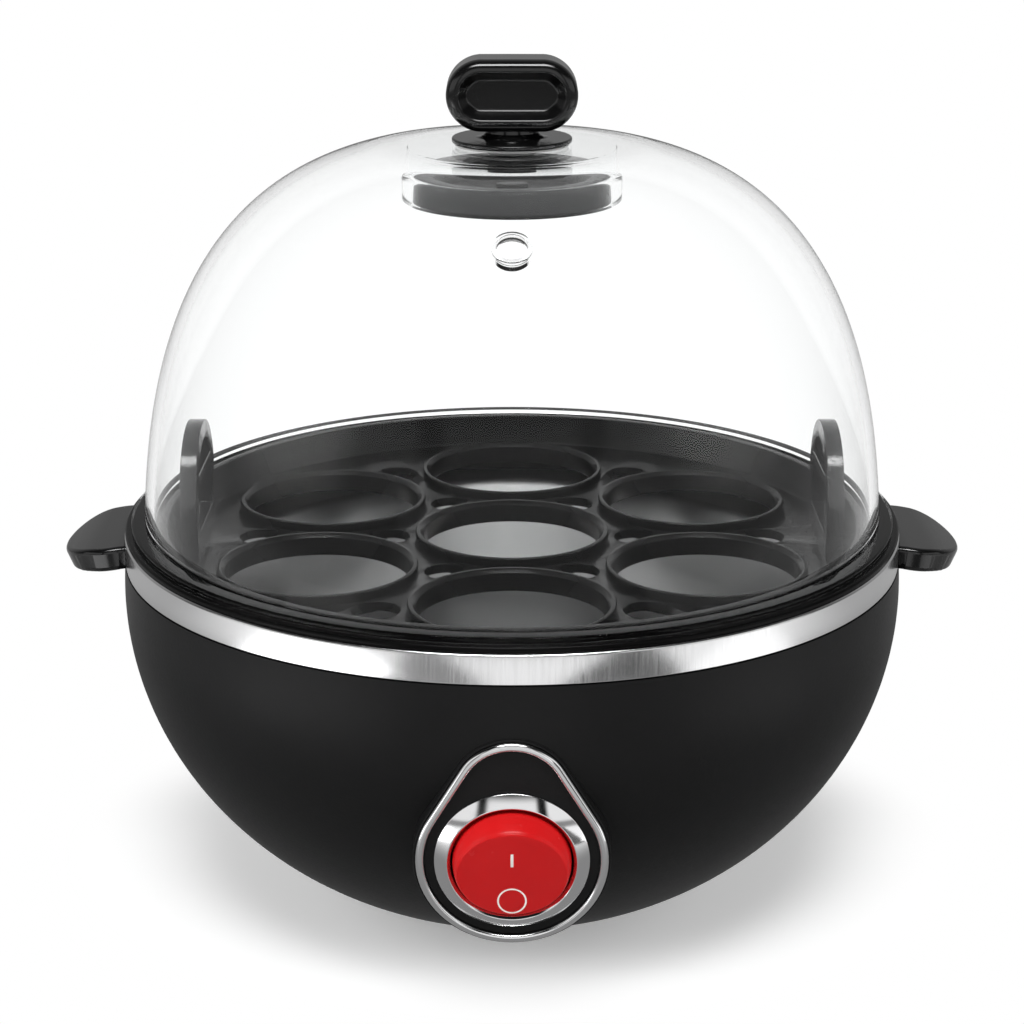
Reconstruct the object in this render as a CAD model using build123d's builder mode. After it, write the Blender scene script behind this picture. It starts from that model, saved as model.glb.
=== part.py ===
import os
from math import acos, asin, atan, cos, radians, sin, sqrt, tan

from build123d import *

os.makedirs("parts", exist_ok=True)

# Electric egg cooker in millimetres. The origin is on the floor under the middle of
# the bowl, +Z is up, and the switch faces -Y.

# Bowl: a half ellipsoid with a flat underside
bowl_radius = 86.3
flat_radius = 42.62
foot_height = 5.5
bowl_depth = 67.3
shoulder_rise = 6.5
wall = 2.6

# Metal band on the neck of the bowl
band_gap = 0.3
band_inset = 0.4
band_height = 6.3
band_sheet = 0.8
band_fit = 0.1
band_round = 0.5

# Well inside the bowl, with the deck that carries the water dish
well_inset = 8.1
well_wall = 2.4
deck_drop = 13.9
deck_ledge = 8.7
deck_sheet = 2.4

# Water dish with welded studs, and what is under it
seal_height = 1.2
seal_inset = 0.7
dish_sheet = 1.0
dish_flange_gap = 1.0
dish_depth = 19.0
dish_ledge = 9.6
dish_taper = 18.6
dish_bend = 3.5
stud_inset = 4.6
stud_radius = 1.5
stud_length = 9.0
stud_count = 3
hole_clearance = 0.3
nut_flats = 5.5
nut_height = 2.4
thread_clearance = 0.05
spreader_radius = 46.0
spreader_sheet = 3.0
spreader_floor = 0.6
element_ring_radius = 34.0
element_tube_radius = 3.3
element_gap_angle = 56.0
element_bend = 7.0
element_leg = 5.0
pin_radius = 1.2
pin_length = 6.0
thermostat_radius = 8.0
thermostat_height = 10.0
thermostat_round = 1.0
thermostat_pitch = 24.0
thermostat_flange = 0.8
thermostat_flange_width = 8.0
blade_width = 4.8
blade_sheet = 0.8
blade_length = 8.0
small_screw_radius = 1.45
small_head_radius = 2.7
small_head_height = 1.8
fuse_radius = 2.1
fuse_length = 12.0
fuse_wire_radius = 0.5
fuse_wire_reach = 11.0
fuse_offset = 21.0
clip_sheet = 0.6
clip_width = 6.0
clip_foot = 5.0

# Cover, feet and screws under the bowl
cover_margin = 3.7
cover_ledge = 2.9
cover_sheet = 2.0
cover_gap = 0.2
cover_screw_inset = 1.8
cover_screw_count = 4
boss_radius = 4.0
boss_height = 10.5
cover_screw_radius = 1.5
cover_screw_length = 10.0
foot_circle = 27.0
foot_radius = 6.0
foot_round = 0.8
foot_count = 4
foot_stem_radius = 2.4
foot_barb_radius = 3.2
foot_barb_height = 1.4
vent_width = 2.6
vent_length = 11.0
vent_circle = 14.0
vent_count = 8

# Cord gland at the back
gland_rise = 14.0
gland_stand = 7.923
gland_boss_radius = 8.0
gland_boss_length = 16.0
gland_radius = 5.2
gland_bore = 3.4
gland_flange_radius = 7.2
gland_flange = 1.8
gland_round = 0.7
gland_sleeve = 14.0

# Terminal block on the cover
block_width = 24.0
block_depth = 13.0
block_height = 12.0
block_round = 1.0
block_y = 14.5
block_screw_radius = 2.0
block_screw_depth = 4.0
block_wire_radius = 1.6
block_pitch = 8.0

# Switch drum: a teardrop made of two circles and their tangents
switch_rise = 35.9
drum_stand = 4.221
switch_tilt = 7.3
drop_radius = 19.2
crown_radius = 11.6
drop_spread = 15.2
drum_lip = 0.5
drum_depth = 24.0
drum_front = 2.6
pocket_depth = 1.2
trim_width = 1.7
trim_height = 0.9
trim_round = 0.55
panel_gap = 0.1

# Round rocker switch
bezel_radius = 15.5
bezel_bore = 12.25
bezel_height = 2.0
bezel_edge = 0.5
bezel_land = 0.7
bezel_round = 0.5
barrel_radius = 13.6
barrel_bore = 12.2
barrel_clearance = 0.3
barrel_cup_depth = 8.4
barrel_length = 15.0
switch_block_width = 20.0
switch_block_depth = 13.0
switch_block_length = 9.0
switch_block_round = 1.5
switch_blade_pitch = 6.0
blade_socket = 4.0
wing_gap = 0.2
wing_root = 0.5
wing_height = 1.1
wing_width = 6.0
wing_length = 5.0
rocker_radius = 11.9
rocker_face = 4.5
rocker_skirt = 5.0
rocker_wall = 1.8
rocker_edge = 0.4
rocker_throw = 24.0
rocker_pivot_drop = 2.1
rocker_pin_radius = 1.5
rocker_pin_reach = 13.1
running_fit = 0.06
lamp_radius = 2.2
lamp_height = 4.8
lamp_round = 1.2

# Insulated leads under the dish
lead_radius = 1.2
lead_bend = 2.0
lead_entry = 3.0
lead_front_gap = 4.5
lead_turn_gap = 2.4
lead_side = 17.0
lead_drop = 12.2
lead_tail = 4.0

# Ears
ear_reach = 14.4
ear_centre_out = 2.2
ear_half_depth = 16.3
ear_drop = 1.8
ear_droop = 3.9
ear_bend_in = 7.7
ear_bend_drop = 0.9
ear_sheet = 5.2
ear_edge = 1.1
ear_fit = 0.05
ear_screw_drop = 2.5
ear_screw_recess = 1.6
ear_screw_radius = 1.25
ear_screw_head_radius = 2.5
ear_screw_head = 1.5
ear_screw_length = 12.0

# Egg tray
tray_floor_drop = 4.3
tray_sheet = 2.0
tray_floor_inset = 4.2
tray_lip_inset = 1.8
tray_lip_sheet = 2.2
tray_lip_rise = 1.0
tray_rim_inset = 0.2
tray_rim_sheet = 1.45
tray_rim_round = 0.5
tray_spigot_gap = 0.4
tray_spigot_drop = 3.0
seat_count = 6
seat_wall = 1.8
seat_gap = 5.0
seat_margin = 4.2
seat_rise = 2.0
seat_drop = 3.0
seat_chamfer = 0.9
steam_web = 1.2
steam_outer_step = 7.8

# Arch handles on the tray
arch_inset = 3.8
arch_sheet = 3.6
arch_half_width = 15.5
arch_rise = 22.5
arch_frame = 4.0
arch_sill = 4.5
arch_rib_drop = 10.8
arch_rib = 2.2
arch_round = 1.0
tab_pitch = 20.0
tab_width = 6.0
tab_drop = 3.4
tab_gap = 0.1

# Clear lid: a superellipse dome with a flat crown
dome_inset = 4.46
dome_rise = 109.55
dome_base_drop = 23.72
dome_power = 2.88
dome_wall = 2.0
lid_rim_inset = 1.4
lid_rim_sheet = 1.45
lid_rim_round = 0.4
crown_cut = 1.83
crown_join_radius = 33.0
vent_hole_circle = 54.5
vent_hole_radius = 3.1
vent_ring_radius = 4.1
vent_ring_height = 0.7
vent_ring_round = 0.3

# Clear collar under the crown, and the cap that snaps into it
collar_radius = 23.7
collar_bore = 21.3
collar_drop = 10.1
groove_depth = 0.25
groove_height = 0.8
cap_fit = 0.1
cap_height = 3.5
cap_round = 0.6
cap_slope_radius = 16.4
cap_floor_radius = 13.5
cap_dish = 2.0
cap_boss_radius = 3.4
cap_boss_height = 1.0

# Knob, its washer and screw
knob_seal_height = 0.5
knob_seal_radius = 12.2
knob_flange_radius = 12.9
knob_flange = 1.1
knob_flange_round = 0.4
knob_neck_width = 11.0
knob_neck_depth = 8.5
knob_neck_round = 1.5
pill_width = 28.0
pill_height = 15.3
pill_depth = 12.5
pill_edge = 2.2
knob_rise = 18.6
grip_width = 23.0
grip_height = 11.0
grip_sink = 2.8
grip_taper = 40.0
knob_boss_radius = 3.4
knob_boss_fit = 0.2
knob_pilot_depth = 10.0
knob_screw_radius = 1.9
knob_screw_head_radius = 5.2
knob_screw_head = 1.6
knob_screw_round = 0.5
knob_screw_grip = 9.0

# Levels and radii that follow from the sizes above
foot_z = foot_height
waist_z = foot_z + bowl_depth
shoulder_z = waist_z + shoulder_rise
bowl_drop = bowl_depth / sqrt(1 - (flat_radius / bowl_radius) ** 2)
band_radius = bowl_radius - band_inset
band_foot_z = shoulder_z + band_gap
band_top_z = band_foot_z + band_height
neck_radius = band_radius - band_sheet - band_fit
neck_top_z = band_top_z - band_sheet - band_fit
well_radius = bowl_radius - well_inset
deck_top_z = band_top_z - deck_drop
deck_bore = well_radius - deck_ledge
dish_mouth_radius = well_radius - dish_ledge
dish_floor_radius = dish_mouth_radius - dish_taper
stud_circle = well_radius - stud_inset
cover_rim = flat_radius - cover_margin
cover_bore = cover_rim - cover_ledge
cover_screw_circle = cover_bore - cover_screw_inset
cover_top_z = foot_z + cover_sheet
gland_z = foot_z + gland_rise
switch_z = foot_z + switch_rise
ear_tip_x = bowl_radius + ear_reach
ear_centre_x = bowl_radius + ear_centre_out
ear_top_z = band_top_z - ear_drop
ear_tip_z = ear_top_z - ear_droop
ear_screw_z = ear_top_z - ear_screw_drop
ear_screw_seat = well_radius + ear_screw_recess
tray_floor_top = band_top_z - tray_floor_drop
tray_floor_low = tray_floor_top - tray_sheet
tray_floor_radius = well_radius - tray_floor_inset
tray_lip_radius = well_radius - tray_lip_inset
tray_lip_outer = tray_lip_radius + tray_lip_sheet
tray_rim_radius = band_radius - tray_rim_inset
tray_rim_top = band_top_z + tray_rim_sheet
tray_spigot_radius = well_radius - tray_spigot_gap
tray_spigot_z = band_top_z - tray_spigot_drop
seat_bore = (tray_floor_radius - seat_margin - seat_gap) / 3 - seat_wall
seat_outer = seat_bore + seat_wall
seat_circle = 2 * seat_outer + seat_gap
steam_inner_circle = seat_circle / sqrt(3)
steam_inner_radius = steam_inner_circle - seat_outer - steam_web
steam_outer_circle = seat_circle + steam_outer_step
arch_x = tray_floor_radius - arch_inset
arch_top_z = band_top_z + arch_rise
arch_rib_z = arch_top_z - arch_rib_drop
arch_centre_z = arch_top_z - arch_half_width
dome_radius = bowl_radius - dome_inset
dome_base_z = band_top_z - dome_base_drop
lid_low_z = tray_rim_top
lid_wall_z = lid_low_z + lid_rim_sheet
lid_rim_radius = tray_rim_radius - lid_rim_inset
crown_land_z = dome_base_z + dome_rise - crown_cut
crown_under_z = crown_land_z - dome_wall
collar_low_z = crown_under_z - collar_drop
cap_top_z = collar_low_z + cap_height
knob_top_z = crown_land_z + knob_rise


def bowl_r(z, inset=0.0):
    """Radius of the bowl at height z, inset from its outer face."""
    return (bowl_radius - inset) * sqrt(1 - ((waist_z - z) / (bowl_drop - inset)) ** 2)


def dome_points(inset, low_z, high_r, count=12):
    """Points (r, z) down the dome from radius high_r to height low_z."""
    span, rise = dome_radius - inset, dome_rise - inset
    start = asin((high_r / span) ** (dome_power / 2))
    stop = acos(((low_z - dome_base_z) / rise) ** (dome_power / 2))
    angles = [start + (stop - start) * i / (count - 1) for i in range(count)]
    share = 2 / dome_power
    return [(span * sin(a) ** share, dome_base_z + rise * cos(a) ** share) for a in angles]


def dome_slope(inset, r):
    """Fall of the dome per millimetre outward at radius r."""
    span, rise = dome_radius - inset, dome_rise - inset
    share = (r / span) ** dome_power
    steep = (r / span) ** (dome_power - 1) * (1 - share) ** (1 / dome_power - 1)
    return rise / span * steep


def crown_edge(inset, flat_z, join_z):
    """Radius where the flat crown turns into the arc that meets the dome."""
    half_turn = atan(dome_slope(inset, crown_join_radius)) / 2
    return crown_join_radius - (flat_z - join_z) / tan(half_turn)


def teardrop(grow):
    """The switch outline, grown outward by an amount."""
    low, top = drop_radius + grow, crown_radius + grow
    lean = asin((low - top) / drop_spread)
    with BuildSketch() as shape:
        with BuildLine():
            right = Line(
                (low * cos(lean), low * sin(lean)),
                (top * cos(lean), drop_spread + top * sin(lean)),
            )
            crown = ThreePointArc(
                right @ 1,
                (0, drop_spread + top),
                (-top * cos(lean), drop_spread + top * sin(lean)),
            )
            left = Line(crown @ 1, (-low * cos(lean), low * sin(lean)))
            ThreePointArc(left @ 1, (0, -low), right @ 0)
        make_face()
    return shape.sketch


def save(part, name):
    """Label a finished piece and write it."""
    part.label = name
    export_step(part, f"parts/{name}.step")


tilt = radians(switch_tilt)
drum_reach = bowl_r(switch_z) + drum_stand
drum_plane = Plane(
    origin=(0, -drum_reach, switch_z), x_dir=(1, 0, 0), z_dir=(0, -cos(tilt), -sin(tilt))
)
drum_axis = Axis(drum_plane.origin, drum_plane.z_dir)
drum_side = Plane(origin=drum_plane.origin, x_dir=(1, 0, 0), z_dir=drum_plane.y_dir * -1)
gland_face_y = bowl_r(gland_z) + gland_stand
gland_plane = Plane.XZ.offset(-gland_face_y)
ear_screw_plane = Plane.YZ.offset(ear_screw_seat)

# Outer shape of the bowl and band, used to fit the ears to them
with BuildPart() as envelope:
    with BuildSketch(Plane.XZ):
        with Locations((0, waist_z)):
            Ellipse(bowl_radius + ear_fit, bowl_drop + ear_fit)
        with Locations((bowl_radius, (foot_z + shoulder_z) / 2)):
            Rectangle(2 * bowl_radius, shoulder_z - foot_z, mode=Mode.INTERSECT)
    revolve(axis=Axis.Z)
    with BuildSketch(Plane.XY.offset(waist_z)):
        Circle(band_radius + ear_fit)
    extrude(amount=band_top_z + band_gap - waist_z)

# Bowl with its neck, well, deck, switch drum and cord boss
with BuildPart() as base_housing:
    with BuildSketch(Plane.XZ):
        with Locations((0, waist_z)):
            Ellipse(bowl_radius, bowl_drop)
        with Locations((bowl_radius, (foot_z + shoulder_z) / 2)):
            Rectangle(2 * bowl_radius, shoulder_z - foot_z, mode=Mode.INTERSECT)
    revolve(axis=Axis.Z)
    with BuildSketch(Plane.XY.offset(waist_z)):
        Circle(neck_radius)
    extrude(amount=neck_top_z - waist_z)
    with BuildSketch(drum_plane):
        add(teardrop(drum_lip))
    extrude(amount=-drum_depth)
    with BuildSketch(gland_plane):
        with Locations((0, gland_z)):
            Circle(gland_boss_radius)
    extrude(amount=gland_boss_length)
    with BuildSketch(Plane.XZ):
        with Locations((0, waist_z)):
            Ellipse(bowl_radius - wall, bowl_drop - wall)
        with Locations((bowl_radius, (foot_z + shoulder_z) / 2)):
            Rectangle(2 * bowl_radius, shoulder_z - foot_z - 2 * wall, mode=Mode.INTERSECT)
    revolve(axis=Axis.Z, mode=Mode.SUBTRACT)
    with BuildSketch(drum_plane.offset(-drum_front)):
        add(teardrop(drum_lip - wall))
    extrude(amount=-drum_depth, mode=Mode.SUBTRACT)
    with BuildSketch(drum_plane):
        add(teardrop(panel_gap))
    extrude(amount=-pocket_depth, mode=Mode.SUBTRACT)
    with BuildSketch(drum_plane):
        Circle(barrel_radius + barrel_clearance)
    extrude(amount=-drum_depth, mode=Mode.SUBTRACT)
    with BuildSketch(Plane.XY.offset(deck_top_z - deck_sheet)):
        Circle(well_radius + well_wall)
        Circle(deck_bore, mode=Mode.SUBTRACT)
    extrude(amount=shoulder_z - deck_top_z)
    with BuildSketch(Plane.XY.offset(deck_top_z)):
        Circle(well_radius)
    extrude(amount=neck_top_z - deck_top_z, mode=Mode.SUBTRACT)
    with BuildSketch(Plane.XY.offset(deck_top_z - deck_sheet)):
        with PolarLocations(stud_circle, stud_count, start_angle=90):
            Circle(stud_radius + hole_clearance)
    extrude(amount=deck_sheet, mode=Mode.SUBTRACT)
    with BuildSketch(Plane.XY.offset(foot_z)):
        Circle(cover_bore)
    extrude(amount=2 * wall, mode=Mode.SUBTRACT)
    with BuildSketch(Plane.XY.offset(foot_z)):
        Circle(cover_rim)
    extrude(amount=cover_sheet, mode=Mode.SUBTRACT)
    with BuildSketch(Plane.XY.offset(cover_top_z)):
        with PolarLocations(cover_screw_circle, cover_screw_count):
            Circle(boss_radius)
    extrude(amount=boss_height)
    with BuildSketch(Plane.XY.offset(cover_top_z)):
        with PolarLocations(cover_screw_circle, cover_screw_count):
            Circle(cover_screw_radius)
    extrude(amount=cover_screw_length - cover_sheet + hole_clearance, mode=Mode.SUBTRACT)
    with BuildSketch(gland_plane):
        with Locations((0, gland_z)):
            Circle(gland_radius)
    extrude(amount=gland_boss_length, mode=Mode.SUBTRACT)
    with BuildSketch(Plane.YZ):
        with Locations((0, ear_screw_z)):
            Circle(ear_screw_radius + hole_clearance)
    extrude(amount=bowl_radius, both=True, mode=Mode.SUBTRACT)
    with BuildSketch(Plane.YZ):
        with Locations((0, ear_screw_z)):
            Circle(ear_screw_head_radius + hole_clearance)
    extrude(amount=ear_screw_seat, both=True, mode=Mode.SUBTRACT)
save(base_housing.part, "base_housing")

# Sheet metal band with its top edge rolled inward over the neck
with BuildPart() as rim_band:
    with BuildSketch(Plane.YZ):
        with BuildLine():
            Polyline(
                (band_radius, band_foot_z),
                (band_radius, band_top_z),
                (well_radius + band_fit, band_top_z),
                (well_radius + band_fit, band_top_z - band_sheet),
                (band_radius - band_sheet, band_top_z - band_sheet),
                (band_radius - band_sheet, band_foot_z),
                close=True,
            )
        make_face()
    revolve(axis=Axis.Z)
    fillet(rim_band.edges().group_by(Axis.Z)[-1].sort_by(SortBy.RADIUS)[-1], radius=band_round)
    with BuildSketch(Plane.YZ):
        with Locations((0, ear_screw_z)):
            Circle(ear_screw_radius + hole_clearance)
    extrude(amount=bowl_radius, both=True, mode=Mode.SUBTRACT)
save(rim_band.part, "rim_band")

# Silicone ring between the deck and the dish
seal_top_z = deck_top_z + seal_height
with BuildPart() as plate_seal:
    with BuildSketch(Plane.XY.offset(deck_top_z)):
        Circle(well_radius - seal_inset)
        Circle(deck_bore + seal_inset, mode=Mode.SUBTRACT)
        with PolarLocations(stud_circle, stud_count, start_angle=90):
            Circle(stud_radius + hole_clearance, mode=Mode.SUBTRACT)
    extrude(amount=seal_height)
save(plate_seal.part, "plate_seal")

# Deep-drawn steel water dish with three studs under its flange
dish_top_z = seal_top_z + dish_sheet
dish_floor_z = dish_top_z - dish_depth
dish_bottom_z = dish_floor_z - dish_sheet
with BuildPart() as heating_plate:
    with BuildSketch(Plane.XZ):
        with BuildLine():
            FilletPolyline(
                (0, dish_floor_z),
                (dish_floor_radius, dish_floor_z),
                (dish_mouth_radius - dish_sheet, dish_top_z),
                (well_radius - dish_flange_gap, dish_top_z),
                radius=dish_bend,
            )
            offset(amount=-dish_sheet, side=Side.RIGHT)
        make_face()
    revolve(axis=Axis.Z)
    with BuildSketch(Plane.XY.offset(seal_top_z)):
        with PolarLocations(stud_circle, stud_count, start_angle=90):
            Circle(stud_radius)
    extrude(amount=-stud_length)
save(heating_plate.part, "heating_plate")

# Nuts that draw the dish down on its seal
with BuildPart() as plate_nuts:
    with BuildSketch(Plane.XY.offset(deck_top_z - deck_sheet)):
        with PolarLocations(stud_circle, stud_count, start_angle=90):
            RegularPolygon(nut_flats / 2, 6, major_radius=False)
            Circle(stud_radius + thread_clearance, mode=Mode.SUBTRACT)
    extrude(amount=-nut_height)
save(plate_nuts.part, "plate_nuts")

# Aluminium disc that spreads the heat under the dish
spreader_low_z = dish_bottom_z - spreader_sheet
with BuildPart() as heat_spreader:
    with BuildSketch(Plane.XY.offset(spreader_low_z)):
        Circle(spreader_radius)
    extrude(amount=spreader_sheet)
    with BuildSketch(Plane.XY.offset(spreader_low_z)):
        with GridLocations(thermostat_pitch, 0, 2, 1):
            Circle(small_screw_radius + thread_clearance)
    extrude(amount=spreader_sheet - spreader_floor, mode=Mode.SUBTRACT)
save(heat_spreader.part, "heat_spreader")

# Ring heater whose ends turn down to their pins
element_z = spreader_low_z - element_tube_radius
gap = radians(element_gap_angle / 2)
end_a = Vector(element_ring_radius * cos(gap), element_ring_radius * sin(gap), element_z)
end_b = Vector(end_a.X, -end_a.Y, element_z)
run_a = Vector(sin(gap), -cos(gap), 0)
run_b = Vector(run_a.X, -run_a.Y, 0)
ends = []
for end, run in ((end_a, run_a), (end_b, run_b)):
    ends.append((end, run, end + run * element_bend + Vector(0, 0, -element_bend)))
with BuildPart() as heating_element:
    with BuildLine():
        ring = ThreePointArc(end_a, (-element_ring_radius, 0, element_z), end_b)
    with BuildSketch(Plane(origin=end_a, x_dir=(0, 0, 1), z_dir=-run_a)):
        Circle(element_tube_radius)
    sweep(path=ring)
    for end, run, low in ends:
        pivot = end + Vector(0, 0, -element_bend)
        with BuildSketch(Plane(origin=end, x_dir=(0, 0, 1), z_dir=run)):
            Circle(element_tube_radius)
        revolve(axis=Axis(pivot, run.cross(Vector(0, 0, -1))), revolution_arc=90)
        with BuildSketch(Plane(origin=low, x_dir=(1, 0, 0), z_dir=(0, 0, -1))):
            Circle(element_tube_radius)
        extrude(amount=element_leg)
        with BuildSketch(Plane(origin=low, x_dir=(1, 0, 0), z_dir=(0, 0, -1))):
            Circle(pin_radius)
        extrude(amount=element_leg + pin_length)
save(heating_element.part, "heating_element")

# Disc thermostat held under the middle of the spreader by its flange
with BuildPart() as thermostat:
    with BuildSketch(Plane.XY.offset(spreader_low_z)):
        SlotCenterToCenter(thermostat_pitch, thermostat_flange_width)
        with GridLocations(thermostat_pitch, 0, 2, 1):
            Circle(small_screw_radius + hole_clearance, mode=Mode.SUBTRACT)
    extrude(amount=-thermostat_flange)
    with BuildSketch(Plane.XY.offset(spreader_low_z)):
        Circle(thermostat_radius)
    extrude(amount=-thermostat_height)
    fillet(thermostat.edges().group_by(Axis.Z)[0], radius=thermostat_round)
    with BuildSketch(Plane.XY.offset(spreader_low_z - thermostat_height)):
        with GridLocations(0, thermostat_radius, 1, 2):
            Rectangle(blade_width, blade_sheet)
    extrude(amount=-blade_length)
save(thermostat.part, "thermostat")

with BuildPart() as thermostat_screws:
    with BuildSketch(Plane.XY.offset(spreader_low_z - thermostat_flange)):
        with GridLocations(thermostat_pitch, 0, 2, 1):
            Circle(small_head_radius)
    extrude(amount=-small_head_height)
    with BuildSketch(Plane.XY.offset(spreader_low_z - thermostat_flange)):
        with GridLocations(thermostat_pitch, 0, 2, 1):
            Circle(small_screw_radius)
    extrude(amount=thermostat_flange + spreader_sheet - 2 * spreader_floor)
save(thermostat_screws.part, "thermostat_screws")

# Thermal fuse held to the spreader by a spring clip
fuse_z = spreader_low_z - fuse_radius
with BuildPart() as thermal_fuse:
    with BuildSketch(Plane.YZ):
        with Locations((fuse_offset, fuse_z)):
            Circle(fuse_radius)
    extrude(amount=fuse_length / 2, both=True)
    with BuildSketch(Plane.YZ):
        with Locations((fuse_offset, fuse_z)):
            Circle(fuse_wire_radius)
    extrude(amount=fuse_wire_reach, both=True)
save(thermal_fuse.part, "thermal_fuse")

clip_inner = fuse_radius + thread_clearance
clip_outer = clip_inner + clip_sheet
with BuildPart() as fuse_clip:
    with BuildSketch(Plane.YZ):
        with Locations((fuse_offset, fuse_z)):
            Circle(clip_outer)
        with Locations((fuse_offset, fuse_z + clip_outer / 2)):
            Rectangle(2 * clip_outer, clip_outer)
        with Locations((fuse_offset + clip_outer, spreader_low_z - clip_sheet / 2)):
            Rectangle(2 * clip_foot, clip_sheet)
        with Locations((fuse_offset + clip_foot / 2, spreader_low_z - clip_outer)):
            Rectangle(2 * clip_outer + clip_foot, 2 * clip_outer, mode=Mode.INTERSECT)
        with Locations((fuse_offset, fuse_z)):
            Circle(clip_inner, mode=Mode.SUBTRACT)
        with Locations((fuse_offset, fuse_z + clip_inner / 2)):
            Rectangle(2 * clip_inner, clip_inner, mode=Mode.SUBTRACT)
    extrude(amount=clip_width / 2, both=True)
save(fuse_clip.part, "fuse_clip")

# Cover under the bowl with a ring of vents
with BuildPart() as bottom_cover:
    with BuildSketch(Plane.XY.offset(foot_z)):
        Circle(cover_rim - cover_gap)
        with PolarLocations(vent_circle, vent_count):
            SlotOverall(vent_length, vent_width, mode=Mode.SUBTRACT)
        with PolarLocations(cover_screw_circle, cover_screw_count):
            Circle(cover_screw_radius + hole_clearance, mode=Mode.SUBTRACT)
        with PolarLocations(foot_circle, foot_count, start_angle=45):
            Circle(foot_stem_radius + thread_clearance, mode=Mode.SUBTRACT)
    extrude(amount=cover_sheet)
save(bottom_cover.part, "bottom_cover")

with BuildPart() as cover_screws:
    with BuildSketch(Plane.XY.offset(foot_z)):
        with PolarLocations(cover_screw_circle, cover_screw_count):
            Circle(small_head_radius)
    extrude(amount=-small_head_height)
    with BuildSketch(Plane.XY.offset(foot_z)):
        with PolarLocations(cover_screw_circle, cover_screw_count):
            Circle(cover_screw_radius - thread_clearance)
    extrude(amount=cover_screw_length)
save(cover_screws.part, "cover_screws")

# Rubber feet pushed into the cover, each with a barb above it
with BuildPart() as rubber_feet:
    with BuildSketch():
        with PolarLocations(foot_circle, foot_count, start_angle=45):
            Circle(foot_radius)
    extrude(amount=foot_z)
    fillet(rubber_feet.edges().group_by(Axis.Z)[0], radius=foot_round)
    with BuildSketch(Plane.XY.offset(foot_z)):
        with PolarLocations(foot_circle, foot_count, start_angle=45):
            Circle(foot_stem_radius)
    extrude(amount=cover_sheet + foot_barb_height)
    with BuildSketch(Plane.XY.offset(cover_top_z)):
        with PolarLocations(foot_circle, foot_count, start_angle=45):
            Circle(foot_barb_radius)
    extrude(amount=foot_barb_height)
save(rubber_feet.part, "rubber_feet")

# Rubber bush where the cord enters
with BuildPart() as cord_gland:
    with BuildSketch(gland_plane):
        with Locations((0, gland_z)):
            Circle(gland_flange_radius)
    extrude(amount=-gland_flange)
    fillet(cord_gland.edges().group_by(Axis.Y)[-1], radius=gland_round)
    with BuildSketch(gland_plane):
        with Locations((0, gland_z)):
            Circle(gland_radius - thread_clearance)
    extrude(amount=gland_sleeve)
    with BuildSketch(gland_plane.offset(-gland_flange)):
        with Locations((0, gland_z)):
            Circle(gland_bore)
    extrude(amount=gland_flange + gland_sleeve, mode=Mode.SUBTRACT)
save(cord_gland.part, "cord_gland")

# Terminal block standing on the cover
block_wire_z = cover_top_z + block_height / 2
with BuildPart() as terminal_block:
    with BuildSketch(Plane.XY.offset(cover_top_z)):
        with Locations((0, block_y)):
            RectangleRounded(block_width, block_depth, block_round)
    extrude(amount=block_height)
    with BuildSketch(Plane.XY.offset(cover_top_z + block_height)):
        with Locations((0, block_y)):
            with GridLocations(block_pitch, 0, 3, 1):
                Circle(block_screw_radius)
    extrude(amount=-block_screw_depth, mode=Mode.SUBTRACT)
    with BuildSketch(Plane.XZ.offset(-block_y)):
        with Locations((0, block_wire_z)):
            with GridLocations(block_pitch, 0, 3, 1):
                Circle(block_wire_radius)
    extrude(amount=block_depth / 2, both=True, mode=Mode.SUBTRACT)
save(terminal_block.part, "terminal_block")

# Trim and inlay in the pocket of the drum
with BuildPart() as teardrop_trim:
    with BuildSketch(drum_plane.offset(-pocket_depth)):
        add(teardrop(0))
        add(teardrop(-trim_width), mode=Mode.SUBTRACT)
    extrude(amount=pocket_depth + trim_height)
    top_face = teardrop_trim.faces().filter_by(drum_plane).sort_by(Axis.Y)[0]
    fillet(top_face.edges(), radius=trim_round)
save(teardrop_trim.part, "teardrop_trim")

with BuildPart() as switch_panel:
    with BuildSketch(drum_plane.offset(-pocket_depth)):
        add(teardrop(-trim_width - panel_gap))
        Circle(barrel_radius + barrel_clearance, mode=Mode.SUBTRACT)
    extrude(amount=pocket_depth)
save(switch_panel.part, "switch_panel")

# Chrome ring round the rocker, a low cone with a rounded crest
rocker_plane = drum_plane.offset(bezel_height - rocker_pivot_drop)
pin_plane = Plane(rocker_plane.origin, x_dir=rocker_plane.y_dir, z_dir=(1, 0, 0))
with BuildPart() as switch_bezel:
    with BuildSketch(drum_side):
        with BuildLine():
            Polyline(
                (bezel_bore, 0),
                (bezel_radius, 0),
                (bezel_radius, bezel_edge),
                (bezel_bore + bezel_land, bezel_height),
                (bezel_bore, bezel_height - bezel_land),
                close=True,
            )
        make_face()
    revolve(axis=drum_axis)
    crest = switch_bezel.edges().filter_by(GeomType.CIRCLE).group_by(SortBy.RADIUS)[1]
    fillet(crest, radius=bezel_round)
    with BuildSketch(pin_plane):
        Circle(rocker_pin_radius + running_fit)
    extrude(amount=rocker_pin_reach + barrel_clearance, both=True, mode=Mode.SUBTRACT)
save(switch_bezel.part, "switch_bezel")

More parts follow.
